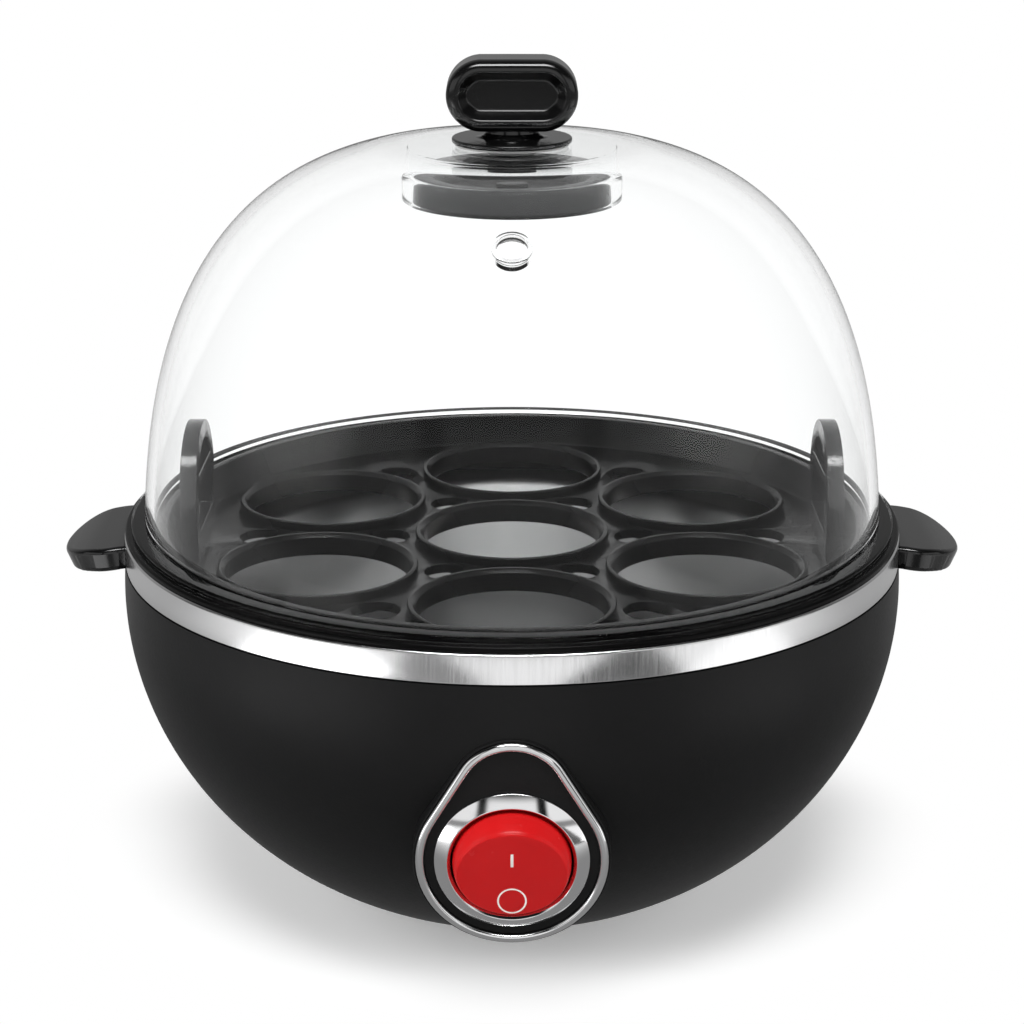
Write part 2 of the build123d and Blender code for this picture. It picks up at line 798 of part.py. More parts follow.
# Barrel of the switch, with pivot notches for the rocker and two snap wings
wing_top = -drum_front - wing_gap
blade_plane = drum_plane.offset(-barrel_length - switch_block_length)
with BuildPart() as switch_body:
    with BuildSketch(drum_plane):
        Circle(barrel_radius)
    extrude(amount=-barrel_length)
    with BuildSketch(drum_plane.offset(-barrel_length)):
        RectangleRounded(switch_block_width, switch_block_depth, switch_block_round)
    extrude(amount=-switch_block_length)
    with BuildSketch(drum_plane):
        Circle(barrel_bore)
    extrude(amount=-barrel_cup_depth, mode=Mode.SUBTRACT)
    with BuildSketch(pin_plane):
        Circle(rocker_pin_radius + running_fit)
    extrude(amount=barrel_radius, both=True, mode=Mode.SUBTRACT)
    with BuildSketch(drum_side):
        for side in (-1, 1):
            with BuildLine():
                Polyline(
                    (side * (barrel_radius - wing_root), wing_top),
                    (side * (barrel_radius + wing_height), wing_top),
                    (side * (barrel_radius - wing_root), wing_top - wing_length),
                    close=True,
                )
            make_face()
    extrude(amount=wing_width / 2, both=True)
    with BuildSketch(blade_plane):
        with GridLocations(switch_blade_pitch, 0, 3, 1):
            Rectangle(blade_sheet, blade_width)
    extrude(amount=blade_socket, mode=Mode.SUBTRACT)
save(switch_body.part, "switch_body")

with BuildPart() as switch_terminals:
    with BuildSketch(blade_plane.offset(blade_socket)):
        with GridLocations(switch_blade_pitch, 0, 3, 1):
            Rectangle(blade_sheet, blade_width)
    extrude(amount=-blade_socket - blade_length)
save(switch_terminals.part, "switch_terminals")

with BuildPart() as neon_lamp:
    with BuildSketch(drum_plane.offset(-barrel_cup_depth)):
        Circle(lamp_radius)
    extrude(amount=lamp_height)
    fillet(neon_lamp.edges().sort_by(Axis.Y)[0], radius=lamp_round)
save(neon_lamp.part, "neon_lamp")

# Rocker: a ball zone with a flat face, resting with its lower end pressed in
off_tilt = tilt + radians(rocker_throw / 2)
rocker_axis_dir = Vector(0, -cos(off_tilt), -sin(off_tilt))
rocker_up = Vector(0, -sin(off_tilt), cos(off_tilt))
rocker_side = Plane(origin=rocker_plane.origin, x_dir=(1, 0, 0), z_dir=rocker_up * -1)
face_radius = sqrt(rocker_radius**2 - rocker_face**2)
skirt_radius = sqrt(rocker_radius**2 - rocker_skirt**2)
hollow_radius = rocker_radius - rocker_wall
hollow_face = rocker_face - rocker_wall
hollow_edge = sqrt(hollow_radius**2 - hollow_face**2)
hollow_skirt = sqrt(hollow_radius**2 - rocker_skirt**2)
with BuildPart() as rocker_button:
    with BuildSketch(rocker_side):
        with BuildLine():
            Line((0, hollow_face), (0, rocker_face))
            Line((0, rocker_face), (face_radius, rocker_face))
            ThreePointArc((face_radius, rocker_face), (rocker_radius, 0), (skirt_radius, -rocker_skirt))
            Line((skirt_radius, -rocker_skirt), (hollow_skirt, -rocker_skirt))
            ThreePointArc((hollow_skirt, -rocker_skirt), (hollow_radius, 0), (hollow_edge, hollow_face))
            Line((hollow_edge, hollow_face), (0, hollow_face))
        make_face()
    revolve(axis=Axis(rocker_plane.origin, rocker_axis_dir))
    fillet(rocker_button.edges().filter_by(GeomType.CIRCLE).sort_by(Axis.Y)[0], radius=rocker_edge)
    for side in (-1, 1):
        with BuildSketch(
            Plane(rocker_plane.origin + Vector(side * hollow_edge, 0, 0), x_dir=(0, 1, 0), z_dir=(side, 0, 0))
        ):
            Circle(rocker_pin_radius)
        extrude(amount=rocker_pin_reach - hollow_edge)
save(rocker_button.part, "rocker_button")

# Leads: cord to switch, switch to fuse, fuse to thermostat, and on to the heater
blade_end = blade_plane.offset(-blade_length)
pin_drop = Vector(0, 0, -element_leg - pin_length)
tail = Vector(0, 0, -lead_tail)
pin_a = ends[0][2] + pin_drop
pin_b = ends[1][2] + pin_drop
front_y = lead_front_gap - bowl_r(block_wire_z, wall)
entry_y = block_y - block_depth / 2 + lead_entry
turn_y = block_y - block_depth / 2 - lead_turn_gap
under_z = spreader_low_z - lead_drop
clip_z = spreader_low_z - thermostat_height - blade_length * 0.75
blades = [blade_end.from_local_coords((x * switch_blade_pitch, 0, 0)) for x in (-1, 0, 1)]
turns = [blade + drum_plane.z_dir * (front_y - blade.Y) / drum_plane.z_dir.Y for blade in blades]
routes = [
    [
        (-block_pitch, entry_y, block_wire_z),
        (-block_pitch, front_y, block_wire_z),
        turns[0],
        blades[0],
    ],
    [
        (0, entry_y, block_wire_z),
        (0, -block_pitch, block_wire_z),
        (block_pitch, front_y / 2, block_wire_z),
        (block_pitch, front_y, block_wire_z),
        turns[2],
        blades[2],
    ],
    [
        blades[1],
        turns[1],
        (0, front_y + lead_tail, under_z),
        (-lead_side, -fuse_offset, under_z),
        (-lead_side, fuse_offset, under_z),
        (-lead_side, fuse_offset, fuse_z),
        (-fuse_wire_reach, fuse_offset, fuse_z),
    ],
    [
        (fuse_wire_reach, fuse_offset, fuse_z),
        (lead_side, fuse_offset, fuse_z),
        (lead_side, fuse_offset, clip_z),
        (lead_side, thermostat_radius, clip_z),
        (blade_width / 2, thermostat_radius, clip_z),
    ],
    [
        (blade_width / 2, -thermostat_radius, clip_z),
        (pin_b.X - 2 * lead_tail, -thermostat_radius, clip_z),
        pin_b + tail - (2 * lead_tail, 0, 0),
        pin_b + tail,
        pin_b,
    ],
    [
        (block_pitch, entry_y, block_wire_z),
        (block_pitch, turn_y, block_wire_z),
        (3 * block_pitch, turn_y, block_wire_z),
        pin_a + tail * 2,
        pin_a,
    ],
]
with BuildPart() as internal_leads:
    for route in routes:
        with BuildLine() as lead_line:
            FilletPolyline(*route, radius=lead_bend)
        with BuildSketch(Plane(origin=lead_line.line @ 0, z_dir=lead_line.line % 0)):
            Circle(lead_radius)
        sweep(path=lead_line.line)
save(internal_leads.part, "internal_leads")

# Ears, shaped to the band and drawn against it by screws from inside
ear_bend_x = ear_tip_x - ear_bend_in
ear_bend_z = ear_top_z - ear_bend_drop
with BuildPart() as ear_right:
    with BuildSketch(Plane.XY.offset(ear_tip_z - 2 * ear_sheet)):
        with Locations((ear_centre_x, 0)):
            Ellipse(ear_tip_x - ear_centre_x, ear_half_depth)
    extrude(amount=ear_droop + 2 * ear_sheet)
    with BuildSketch(Plane.XZ):
        with BuildLine():
            top = ThreePointArc(
                (well_radius, ear_top_z), (ear_bend_x, ear_bend_z), (ear_tip_x, ear_tip_z)
            )
            tip = Line(top @ 1, (ear_tip_x, ear_tip_z - ear_sheet))
            under = ThreePointArc(
                tip @ 1, (ear_bend_x, ear_bend_z - ear_sheet), (well_radius, ear_top_z - ear_sheet)
            )
            Line(under @ 1, top @ 0)
        make_face()
    extrude(amount=2 * ear_half_depth, both=True, mode=Mode.INTERSECT)
    fillet(ear_right.edges().filter_by(GeomType.LINE, reverse=True), radius=ear_edge)
    add(envelope.part, mode=Mode.SUBTRACT)
    with BuildSketch(ear_screw_plane):
        with Locations((0, ear_screw_z)):
            Circle(ear_screw_radius + thread_clearance)
    extrude(amount=ear_screw_length + hole_clearance, mode=Mode.SUBTRACT)
save(ear_right.part, "ear_right")

with BuildPart() as ear_left:
    mirror(ear_right.part, about=Plane.YZ)
save(ear_left.part, "ear_left")

with BuildPart() as ear_screws:
    with BuildSketch(ear_screw_plane):
        with Locations((0, ear_screw_z)):
            Circle(ear_screw_radius)
    extrude(amount=ear_screw_length)
    with BuildSketch(ear_screw_plane):
        with Locations((0, ear_screw_z)):
            Circle(ear_screw_head_radius)
    extrude(amount=-ear_screw_head)
    mirror(about=Plane.YZ)
save(ear_screws.part, "ear_screws")

# Egg tray: a dished plate with egg seats and steam holes
seat_low_z = tray_floor_top - seat_drop
seat_y = seat_circle * sin(radians(30))
seat_step = steam_outer_circle - seat_circle * cos(radians(30))
steam_outer_radius = sqrt(seat_step**2 + seat_y**2) - seat_outer - steam_web
with BuildPart() as egg_tray:
    with BuildSketch(Plane.XZ):
        with BuildLine():
            Polyline(
                (0, tray_floor_low),
                (tray_floor_radius + tray_sheet, tray_floor_low),
                (tray_spigot_radius, tray_spigot_z),
                (tray_spigot_radius, band_top_z),
                (tray_rim_radius, band_top_z),
                (tray_rim_radius, tray_rim_top),
                (tray_lip_outer, tray_rim_top),
                (tray_lip_outer, tray_rim_top + tray_lip_rise),
                (tray_lip_radius, tray_rim_top + tray_lip_rise),
                (tray_floor_radius, tray_floor_top),
                (0, tray_floor_top),
                close=True,
            )
        make_face()
    revolve(axis=Axis.Z)
    rim_edges = egg_tray.edges().filter_by(GeomType.CIRCLE).group_by(SortBy.RADIUS)[-1]
    fillet(rim_edges, radius=tray_rim_round)
    with BuildSketch(Plane.XY.offset(seat_low_z)):
        Circle(seat_outer)
        with PolarLocations(seat_circle, seat_count, start_angle=30):
            Circle(seat_outer)
    extrude(amount=seat_drop + seat_rise)
    with BuildSketch(Plane.XY.offset(seat_low_z)):
        Circle(seat_bore)
        with PolarLocations(seat_circle, seat_count, start_angle=30):
            Circle(seat_bore)
    extrude(amount=seat_drop + seat_rise, mode=Mode.SUBTRACT)
    seat_rings = egg_tray.faces().filter_by(Axis.Z).filter_by_position(
        Axis.Z, tray_floor_top + seat_rise / 2, tray_floor_top + seat_rise + seat_drop
    )
    seat_mouths = [face for face in seat_rings if face.area < seat_outer**2]
    chamfer([face.inner_wires()[0].edges()[0] for face in seat_mouths], length=seat_chamfer)
    with BuildSketch(Plane.XY.offset(tray_floor_low)):
        with PolarLocations(steam_inner_circle, seat_count):
            Circle(steam_inner_radius)
        with PolarLocations(steam_outer_circle, seat_count):
            Circle(steam_outer_radius)
        for side in (-1, 1):
            with Locations((side * arch_x, 0)):
                with GridLocations(0, tab_pitch, 1, 2):
                    Rectangle(arch_sheet + 2 * tab_gap, tab_width + 2 * tab_gap)
    extrude(amount=tray_sheet, mode=Mode.SUBTRACT)
save(egg_tray.part, "egg_tray")

# Arch handles, each with two tabs through the tray floor
inner_half = arch_half_width - arch_frame
with BuildPart() as tray_handle_right:
    with BuildSketch(Plane.YZ.offset(arch_x - arch_sheet / 2)):
        with BuildLine():
            Line((-arch_half_width, arch_centre_z), (-arch_half_width, tray_floor_top))
            Line((-arch_half_width, tray_floor_top), (arch_half_width, tray_floor_top))
            Line((arch_half_width, tray_floor_top), (arch_half_width, arch_centre_z))
            ThreePointArc(
                (arch_half_width, arch_centre_z), (0, arch_top_z), (-arch_half_width, arch_centre_z)
            )
        make_face()
    extrude(amount=arch_sheet)
    fillet(tray_handle_right.edges().filter_by(GeomType.CIRCLE), radius=arch_round)
    with BuildSketch(Plane.YZ.offset(arch_x - arch_sheet / 2)):
        with BuildLine():
            Line((-inner_half, arch_centre_z), (-inner_half, tray_floor_top + arch_sill))
            Line((-inner_half, tray_floor_top + arch_sill), (inner_half, tray_floor_top + arch_sill))
            Line((inner_half, tray_floor_top + arch_sill), (inner_half, arch_centre_z))
            ThreePointArc(
                (inner_half, arch_centre_z), (0, arch_top_z - arch_frame), (-inner_half, arch_centre_z)
            )
        make_face()
        with Locations((0, arch_rib_z)):
            Rectangle(2 * arch_half_width, arch_rib, mode=Mode.SUBTRACT)
    extrude(amount=arch_sheet, mode=Mode.SUBTRACT)
    with BuildSketch(Plane.XY.offset(tray_floor_top)):
        with Locations((arch_x, 0)):
            with GridLocations(0, tab_pitch, 1, 2):
                Rectangle(arch_sheet, tab_width)
    extrude(amount=-tab_drop)
save(tray_handle_right.part, "tray_handle_right")

with BuildPart() as tray_handle_left:
    mirror(tray_handle_right.part, about=Plane.YZ)
save(tray_handle_left.part, "tray_handle_left")

# Clear dome whose flat crown runs into it over an arc
outer = dome_points(0, lid_wall_z, crown_join_radius)
inner = dome_points(dome_wall, lid_low_z, crown_join_radius)
outer_edge = crown_edge(0, crown_land_z, outer[0][1])
inner_edge = crown_edge(dome_wall, crown_under_z, inner[0][1])
vent_lean = atan(dome_slope(0, vent_hole_circle))
vent_point = Vector(0, -vent_hole_circle, dome_points(0, lid_wall_z, vent_hole_circle)[0][1])
vent_plane = Plane(vent_point, x_dir=(1, 0, 0), z_dir=(0, -sin(vent_lean), cos(vent_lean)))
boss_hole = knob_boss_radius + knob_boss_fit
with BuildPart() as lid_dome:
    with BuildSketch(Plane.XZ):
        with BuildLine():
            Line((boss_hole, crown_under_z), (boss_hole, crown_land_z))
            Line((boss_hole, crown_land_z), (outer_edge, crown_land_z))
            TangentArc((outer_edge, crown_land_z), outer[0], tangent=(1, 0))
            Spline(*outer)
            Line(outer[-1], (lid_rim_radius, lid_wall_z))
            Line((lid_rim_radius, lid_wall_z), (lid_rim_radius, lid_low_z))
            Line((lid_rim_radius, lid_low_z), inner[-1])
            Spline(*reversed(inner))
            TangentArc((inner_edge, crown_under_z), inner[0], tangent=(1, 0))
            Line((inner_edge, crown_under_z), (boss_hole, crown_under_z))
        make_face()
    revolve(axis=Axis.Z)
    lid_edges = lid_dome.edges().filter_by(GeomType.CIRCLE).group_by(SortBy.RADIUS)[-1]
    fillet(lid_edges, radius=lid_rim_round)
    with BuildSketch(vent_plane.offset(vent_ring_height)):
        Circle(vent_ring_radius)
    extrude(amount=-vent_ring_height - dome_wall / 2)
    ring_edge = lid_dome.edges().filter_by(GeomType.CIRCLE).filter_by_position(
        Axis.Y, -vent_hole_circle - dome_wall, -vent_hole_circle + dome_wall
    )
    fillet(ring_edge, radius=vent_ring_round)
    with BuildSketch(vent_plane):
        Circle(vent_hole_radius)
    extrude(amount=2 * dome_wall, both=True, mode=Mode.SUBTRACT)
save(lid_dome.part, "lid_dome")

# Clear collar bonded under the crown, with a groove near its lower end
groove_z = collar_low_z + cap_height / 2
groove_low_z = groove_z - groove_height / 2
groove_top_z = groove_z + groove_height / 2
with BuildPart() as lid_collar:
    with BuildSketch(Plane.XZ):
        with BuildLine():
            Polyline(
                (collar_bore, collar_low_z),
                (collar_radius, collar_low_z),
                (collar_radius, crown_under_z),
                (collar_bore, crown_under_z),
                (collar_bore, groove_top_z),
                (collar_bore + groove_depth, groove_top_z),
                (collar_bore + groove_depth, groove_low_z),
                (collar_bore, groove_low_z),
                close=True,
            )
        make_face()
    revolve(axis=Axis.Z)
save(lid_collar.part, "lid_collar")

# Dished cap whose bead snaps into the groove of the collar
cap_radius = collar_bore - cap_fit
cap_floor_z = cap_top_z - cap_dish
bead_low_z = groove_low_z + cap_fit
bead_top_z = groove_top_z - cap_fit
with BuildPart() as knob_disc:
    with BuildSketch(Plane.XZ):
        with BuildLine():
            Polyline(
                (0, collar_low_z),
                (cap_radius, collar_low_z),
                (cap_radius, bead_low_z),
                (cap_radius + groove_depth, bead_low_z),
                (cap_radius + groove_depth, bead_top_z),
                (cap_radius, bead_top_z),
                (cap_radius, cap_top_z),
                (cap_slope_radius, cap_top_z),
                (cap_floor_radius, cap_floor_z),
                (cap_boss_radius, cap_floor_z),
                (cap_boss_radius, cap_floor_z + cap_boss_height),
                (0, cap_floor_z + cap_boss_height),
                close=True,
            )
        make_face()
    revolve(axis=Axis.Z)
    rim_top = knob_disc.edges().group_by(Axis.Z)[-1].sort_by(SortBy.RADIUS)[-1]
    fillet(rim_top, radius=cap_round)
save(knob_disc.part, "knob_disc")

# Knob with a dished grip on both faces
flange_low_z = crown_land_z + knob_seal_height
pill_z = knob_top_z - pill_height / 2
with BuildPart() as lid_knob:
    with BuildSketch(Plane.XZ):
        with Locations((0, pill_z)):
            SlotOverall(pill_width, pill_height)
    extrude(amount=pill_depth / 2, both=True)
    fillet(lid_knob.edges(), radius=pill_edge)
    for side in (-1, 1):
        with BuildSketch(Plane.XZ.offset(side * pill_depth / 2)):
            with Locations((0, pill_z)):
                SlotOverall(grip_width, grip_height)
        extrude(amount=-side * grip_sink, taper=grip_taper, mode=Mode.SUBTRACT)
    with BuildSketch(Plane.XY.offset(flange_low_z)):
        Circle(knob_flange_radius)
    extrude(amount=knob_flange)
    flange_top = lid_knob.edges().filter_by(GeomType.CIRCLE).group_by(Axis.Z)[1]
    fillet(flange_top, radius=knob_flange_round)
    with BuildSketch(Plane.XY.offset(flange_low_z)):
        RectangleRounded(knob_neck_width, knob_neck_depth, knob_neck_round)
    extrude(amount=knob_top_z - pill_height + pill_edge - flange_low_z)
    with BuildSketch(Plane.XY.offset(flange_low_z)):
        Circle(knob_boss_radius)
    extrude(amount=-knob_seal_height - dome_wall + hole_clearance)
    with BuildSketch(Plane.XY.offset(crown_under_z)):
        Circle(knob_screw_radius + thread_clearance)
    extrude(amount=knob_pilot_depth, mode=Mode.SUBTRACT)
save(lid_knob.part, "lid_knob")

with BuildPart() as knob_seal:
    with BuildSketch(Plane.XY.offset(crown_land_z)):
        Circle(knob_seal_radius)
        Circle(boss_hole, mode=Mode.SUBTRACT)
    extrude(amount=knob_seal_height)
save(knob_seal.part, "knob_seal")

# Screw whose wide head bears on the crown from below
with BuildPart() as knob_screw:
    with BuildSketch(Plane.XY.offset(crown_under_z)):
        Circle(knob_screw_head_radius)
    extrude(amount=-knob_screw_head)
    fillet(knob_screw.edges().group_by(Axis.Z)[0], radius=knob_screw_round)
    with BuildSketch(Plane.XY.offset(crown_under_z)):
        Circle(knob_screw_radius)
    extrude(amount=knob_screw_grip)
save(knob_screw.part, "knob_screw")
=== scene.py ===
import math

import bpy
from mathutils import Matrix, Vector


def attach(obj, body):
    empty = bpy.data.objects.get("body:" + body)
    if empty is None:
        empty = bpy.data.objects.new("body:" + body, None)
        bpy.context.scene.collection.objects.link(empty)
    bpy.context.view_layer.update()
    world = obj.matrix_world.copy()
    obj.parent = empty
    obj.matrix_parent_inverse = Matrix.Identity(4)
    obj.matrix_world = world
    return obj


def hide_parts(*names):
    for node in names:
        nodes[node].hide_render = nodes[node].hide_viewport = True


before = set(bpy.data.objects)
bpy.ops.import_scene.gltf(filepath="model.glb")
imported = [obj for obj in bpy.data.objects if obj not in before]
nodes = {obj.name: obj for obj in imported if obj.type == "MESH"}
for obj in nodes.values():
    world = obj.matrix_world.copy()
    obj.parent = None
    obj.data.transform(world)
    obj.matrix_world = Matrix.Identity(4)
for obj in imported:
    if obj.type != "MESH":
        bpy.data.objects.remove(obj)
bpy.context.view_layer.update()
bpy.ops.object.select_all(action="DESELECT")


class Value:
    """A number that varies over a surface; arithmetic on it adds Math nodes."""

    def __init__(self, owner, socket):
        self.owner, self.socket = owner, socket

    def math(self, operation, *others, swap=False):
        terms = [self, *others]
        if swap:
            terms.reverse()
        return self.owner.node("Math", {"operation": operation}, dict(enumerate(terms)))

    def __add__(self, other):
        return self.math("ADD", other)

    def __sub__(self, other):
        return self.math("SUBTRACT", other)

    def __rsub__(self, other):
        return self.math("SUBTRACT", other, swap=True)

    def __mul__(self, other):
        return self.math("MULTIPLY", other)

    __radd__, __rmul__ = __add__, __mul__

    def between(self, low, high, at_low=0.0, at_high=1.0):
        """A smooth change from one value to another as this number goes from low to high."""
        sockets = {"Value": self, 1: low, 2: high, 3: at_low, 4: at_high}
        return self.owner.node("MapRange", {"interpolation_type": "SMOOTHSTEP"}, sockets)


class Nodes:
    """The node tree of a finish, a lamp or the surroundings."""

    def __init__(self, tree):
        self.tree = tree

    def node(self, kind, settings, sockets, output=0):
        """One node of any kind: its settings first, then values or links for its sockets."""
        made = self.tree.nodes.new("ShaderNode" + kind)
        for name, value in settings.items():
            setattr(made, name, value)
        for key, value in sockets.items():
            self.feed(made.inputs[key], value)
        return Value(self, made.outputs[output])

    def feed(self, socket, value):
        if isinstance(value, Value):
            self.tree.links.new(value.socket, socket)
        else:
            socket.default_value = value


class Finish(Nodes):
    """A surface finish: a Principled shader, and the nodes that vary it."""

    def __init__(self, name, colour, **sockets):
        self.material = bpy.data.materials.new(name)
        self.material.use_nodes = True
        super().__init__(self.material.node_tree)
        self.shader = self.tree.nodes["Principled BSDF"]
        self.surface = self.tree.nodes["Material Output"].inputs["Surface"]
        self.set(Base_Color=(*colour, 1.0), **sockets)

    def set(self, **sockets):
        for name, value in sockets.items():
            self.feed(self.shader.inputs[name.replace("_", " ")], value)

    def noise(self, scale, detail=2.0, stretch=(1, 1, 1)):
        here = self.node("TexCoord", {}, {}, "Object")
        spot = self.node("Mapping", {}, {"Vector": here, "Scale": stretch})
        return self.node("TexNoise", {}, {"Vector": spot, "Scale": scale, "Detail": detail}, "Fac")

    def spread(self, value, to_low, to_high):
        """Noise mostly lies from 0.3 to 0.7; this spreads it from one value to another."""
        return self.node("MapRange", {}, {"Value": value, 1: 0.3, 2: 0.7, 3: to_low, 4: to_high})

    def blend(self, share, first, second):
        sockets = {"Factor": share, 6: (*first, 1.0), 7: (*second, 1.0)}
        return self.node("Mix", {"data_type": "RGBA"}, sockets, 2)

    def bump(self, height, distance):
        self.set(Normal=self.node("Bump", {}, {"Height": height, "Distance": distance}))


# Size of the slow colour drift in moulded plastic, and how far a gloss strays from its value
DRIFT_SCALE, GLOSS_SPREAD = 45.0, 0.04


def moulded(name, dark, light, gloss, grain, depth, **sockets):
    """Moulded plastic: slight colour drift, uneven gloss and a fine grain."""
    finish = Finish(name, dark, **sockets)
    drift = finish.noise(DRIFT_SCALE, 3.0)
    pits = finish.noise(grain)
    finish.set(Base_Color=finish.blend(drift, dark, light))
    uneven = drift * 0.6 + pits * 0.4
    finish.set(Roughness=finish.spread(uneven, gloss - GLOSS_SPREAD, gloss + GLOSS_SPREAD))
    finish.bump(pits, depth)
    return finish


def metal(name, colour, gloss, stretch, depth):
    """Metal with fine lines along the axes that the stretch leaves short."""
    finish = Finish(name, colour, Metallic=1.0)
    lines = finish.noise(100.0, 3.0, stretch)
    drift = finish.noise(30.0)
    worn = [0.9 * c for c in colour]
    finish.set(Base_Color=finish.blend(drift, worn, colour))
    finish.set(Roughness=finish.spread(lines, gloss - 0.04, gloss + 0.05))
    finish.bump(lines, depth)
    return finish


matt_shell = moulded("matt_shell", (0.0062, 0.0062, 0.0064), (0.0078, 0.0078, 0.008), 0.4, 1400, 0.00002,
                     Specular_IOR_Level=0.12)
# The cap stands for the gloss black disc but is a lighter grey with almost no gloss: painted sheen, the grey
# standing in for the disc's reflections
cap_grey_painted_sheen = moulded("cap_grey_painted_sheen", (0.026, 0.026, 0.0262), (0.034, 0.034, 0.0342), 0.3, 700, 0.000001,
                    Specular_IOR_Level=0.03)
gloss_black = moulded("gloss_black", (0.003, 0.003, 0.0031), (0.0045, 0.0045, 0.0046), 0.13, 700, 0.000002)
tray_black = moulded("tray_black", (0.002, 0.002, 0.002), (0.003, 0.003, 0.003), 0.2, 300, 0.0000003,
                     Specular_IOR_Level=0.06)
panel_black = moulded("panel_black", (0.007, 0.007, 0.0072), (0.009, 0.009, 0.0092), 0.4, 1800, 0.00002,
                      Specular_IOR_Level=0.12)
rubber = moulded("rubber", (0.015, 0.015, 0.015), (0.022, 0.022, 0.022), 0.75, 1500, 0.00006)
silicone = moulded("silicone", (0.42, 0.42, 0.42), (0.5, 0.5, 0.49), 0.55, 1500, 0.00003)
white_block = moulded("white_block", (0.7, 0.7, 0.66), (0.8, 0.8, 0.77), 0.5, 1500, 0.00003)
mark_white = moulded("mark_white", (0.78, 0.75, 0.7), (0.86, 0.83, 0.78), 0.45, 2500, 0.00001)
phenolic = moulded("phenolic", (0.03, 0.017, 0.01), (0.05, 0.03, 0.018), 0.45, 1500, 0.00004)
rocker_red = moulded("rocker_red", (0.47, 0.007, 0.008), (0.52, 0.009, 0.01), 0.25, 700, 0.000002,
                     Specular_IOR_Level=0.12)
band_steel = metal("band_steel", (0.8, 0.8, 0.805), 0.2, (30, 30, 1), 0.000003)
chrome = metal("chrome", (0.88, 0.88, 0.885), 0.09, (1, 1, 1), 0.000002)
# Dish steel far darker than bright stainless: painted shade for the dim inside of the cooker under the tray
dish_steel = metal("dish_steel", (0.22, 0.22, 0.22), 0.34, (1, 1, 30), 0.000004)
zinc = metal("zinc", (0.6, 0.61, 0.63), 0.32, (5, 5, 5), 0.000005)
black_zinc = metal("black_zinc", (0.05, 0.05, 0.052), 0.4, (5, 5, 5), 0.000005)
aluminium = metal("aluminium", (0.75, 0.75, 0.76), 0.38, (1, 1, 8), 0.000006)
element_skin = metal("element_skin", (0.22, 0.21, 0.2), 0.45, (6, 6, 6), 0.00001)
brass = metal("brass", (0.75, 0.56, 0.27), 0.3, (6, 6, 6), 0.000004)

lamp_glass = Finish("lamp_glass", (1.0, 0.82, 0.66), Transmission_Weight=1.0, IOR=1.45)
lamp_glass.set(Roughness=lamp_glass.spread(lamp_glass.noise(600.0), 0.04, 0.12))


def clear(name, ior):
    """Clear moulded plastic that lets light through to what stands behind it."""
    finish = Finish(name, (0.995, 1.0, 1.0), Transmission_Weight=1.0, IOR=ior)
    finish.set(Roughness=finish.spread(finish.noise(60.0, 3.0), 0.0, 0.01))
    shadow = finish.node("LightPath", {}, {}, "Is Shadow Ray")
    open_way = finish.node("BsdfTransparent", {}, {"Color": (0.95, 0.96, 0.96, 1.0)})
    solid = Value(finish, finish.shader.outputs[0])
    finish.feed(finish.surface, finish.node("MixShader", {}, {0: shadow, 1: solid, 2: open_way}))
    return finish


clear_lid = clear("clear_lid", 1.2)
clear_collar = clear("clear_collar", 1.12)
clear_web = clear("clear_web", 1.01)


def dress(piece, finish):
    """One finish all over a piece."""
    piece.data.materials.clear()
    piece.data.materials.append(finish.material)


for finish, names in {
    tray_black: ["bottom_cover", "switch_body"],
    panel_black: ["switch_panel"],
    silicone: ["plate_seal", "knob_seal"],
    white_block: ["terminal_block", "thermal_fuse", "internal_leads"],
    phenolic: ["thermostat"],
    zinc: ["cover_screws", "ear_screws", "fuse_clip", "plate_nuts", "thermostat_screws"],
    black_zinc: ["knob_screw"],
    aluminium: ["heat_spreader"],
    element_skin: ["heating_element"],
    brass: ["switch_terminals"],
    lamp_glass: ["neon_lamp"],
}.items():
    for name in names:
        dress(nodes[name], finish)

# Sizes below are millimetres; meshes are made in metres
MM = 0.001


def only(*pieces):
    """These pieces selected, the first one active, and nothing else."""
    bpy.ops.object.select_all(action="DESELECT")
    for piece in pieces:
        piece.select_set(True)
    bpy.context.view_layer.objects.active = pieces[0]


def rounded(corners, steps=5):
    """Outline through corners (a, b, rounding), each rounded corner turned over an arc."""
    points = []
    for i, (a, b, *rounding) in enumerate(corners):
        here = Vector((a, b))
        if not rounding:
            points.append(here)
            continue
        back = (Vector(corners[i - 1][:2]) - here).normalized()
        ahead = (Vector(corners[(i + 1) % len(corners)][:2]) - here).normalized()
        half = back.angle(ahead) / 2
        radius = rounding[0]
        centre = here + (back + ahead).normalized() * radius / math.sin(half)
        first, last = (here + way * radius / math.tan(half) - centre for way in (back, ahead))
        points += [centre + first.slerp(last, k / steps).normalized() * radius for k in range(steps + 1)]
    return points


def drawn(name, points, fill="NGON"):
    """A closed outline through points, as one flat face or as a bare loop."""
    bpy.ops.object.select_all(action="DESELECT")
    bpy.ops.mesh.primitive_circle_add(vertices=len(points), radius=MM, fill_type=fill)
    piece = bpy.context.object
    piece.name = name
    piece.data.name = name
    for vertex, point in zip(piece.data.vertices, points):
        vertex.co = Vector(point) * MM
    return piece


def tidied(piece, angle=30):
    """Doubles merged, faces turned outward, and smooth up to an angle."""
    only(piece)
    bpy.ops.object.mode_set(mode="EDIT")
    bpy.ops.mesh.select_all(action="SELECT")
    bpy.ops.mesh.remove_doubles(threshold=0.000002)
    bpy.ops.mesh.delete_loose(use_verts=True, use_edges=True, use_faces=False)
    bpy.ops.mesh.select_all(action="SELECT")
    bpy.ops.mesh.normals_make_consistent(inside=False)
    bpy.ops.object.mode_set(mode="OBJECT")
    bpy.ops.object.shade_smooth_by_angle(angle=math.radians(angle))
    return piece


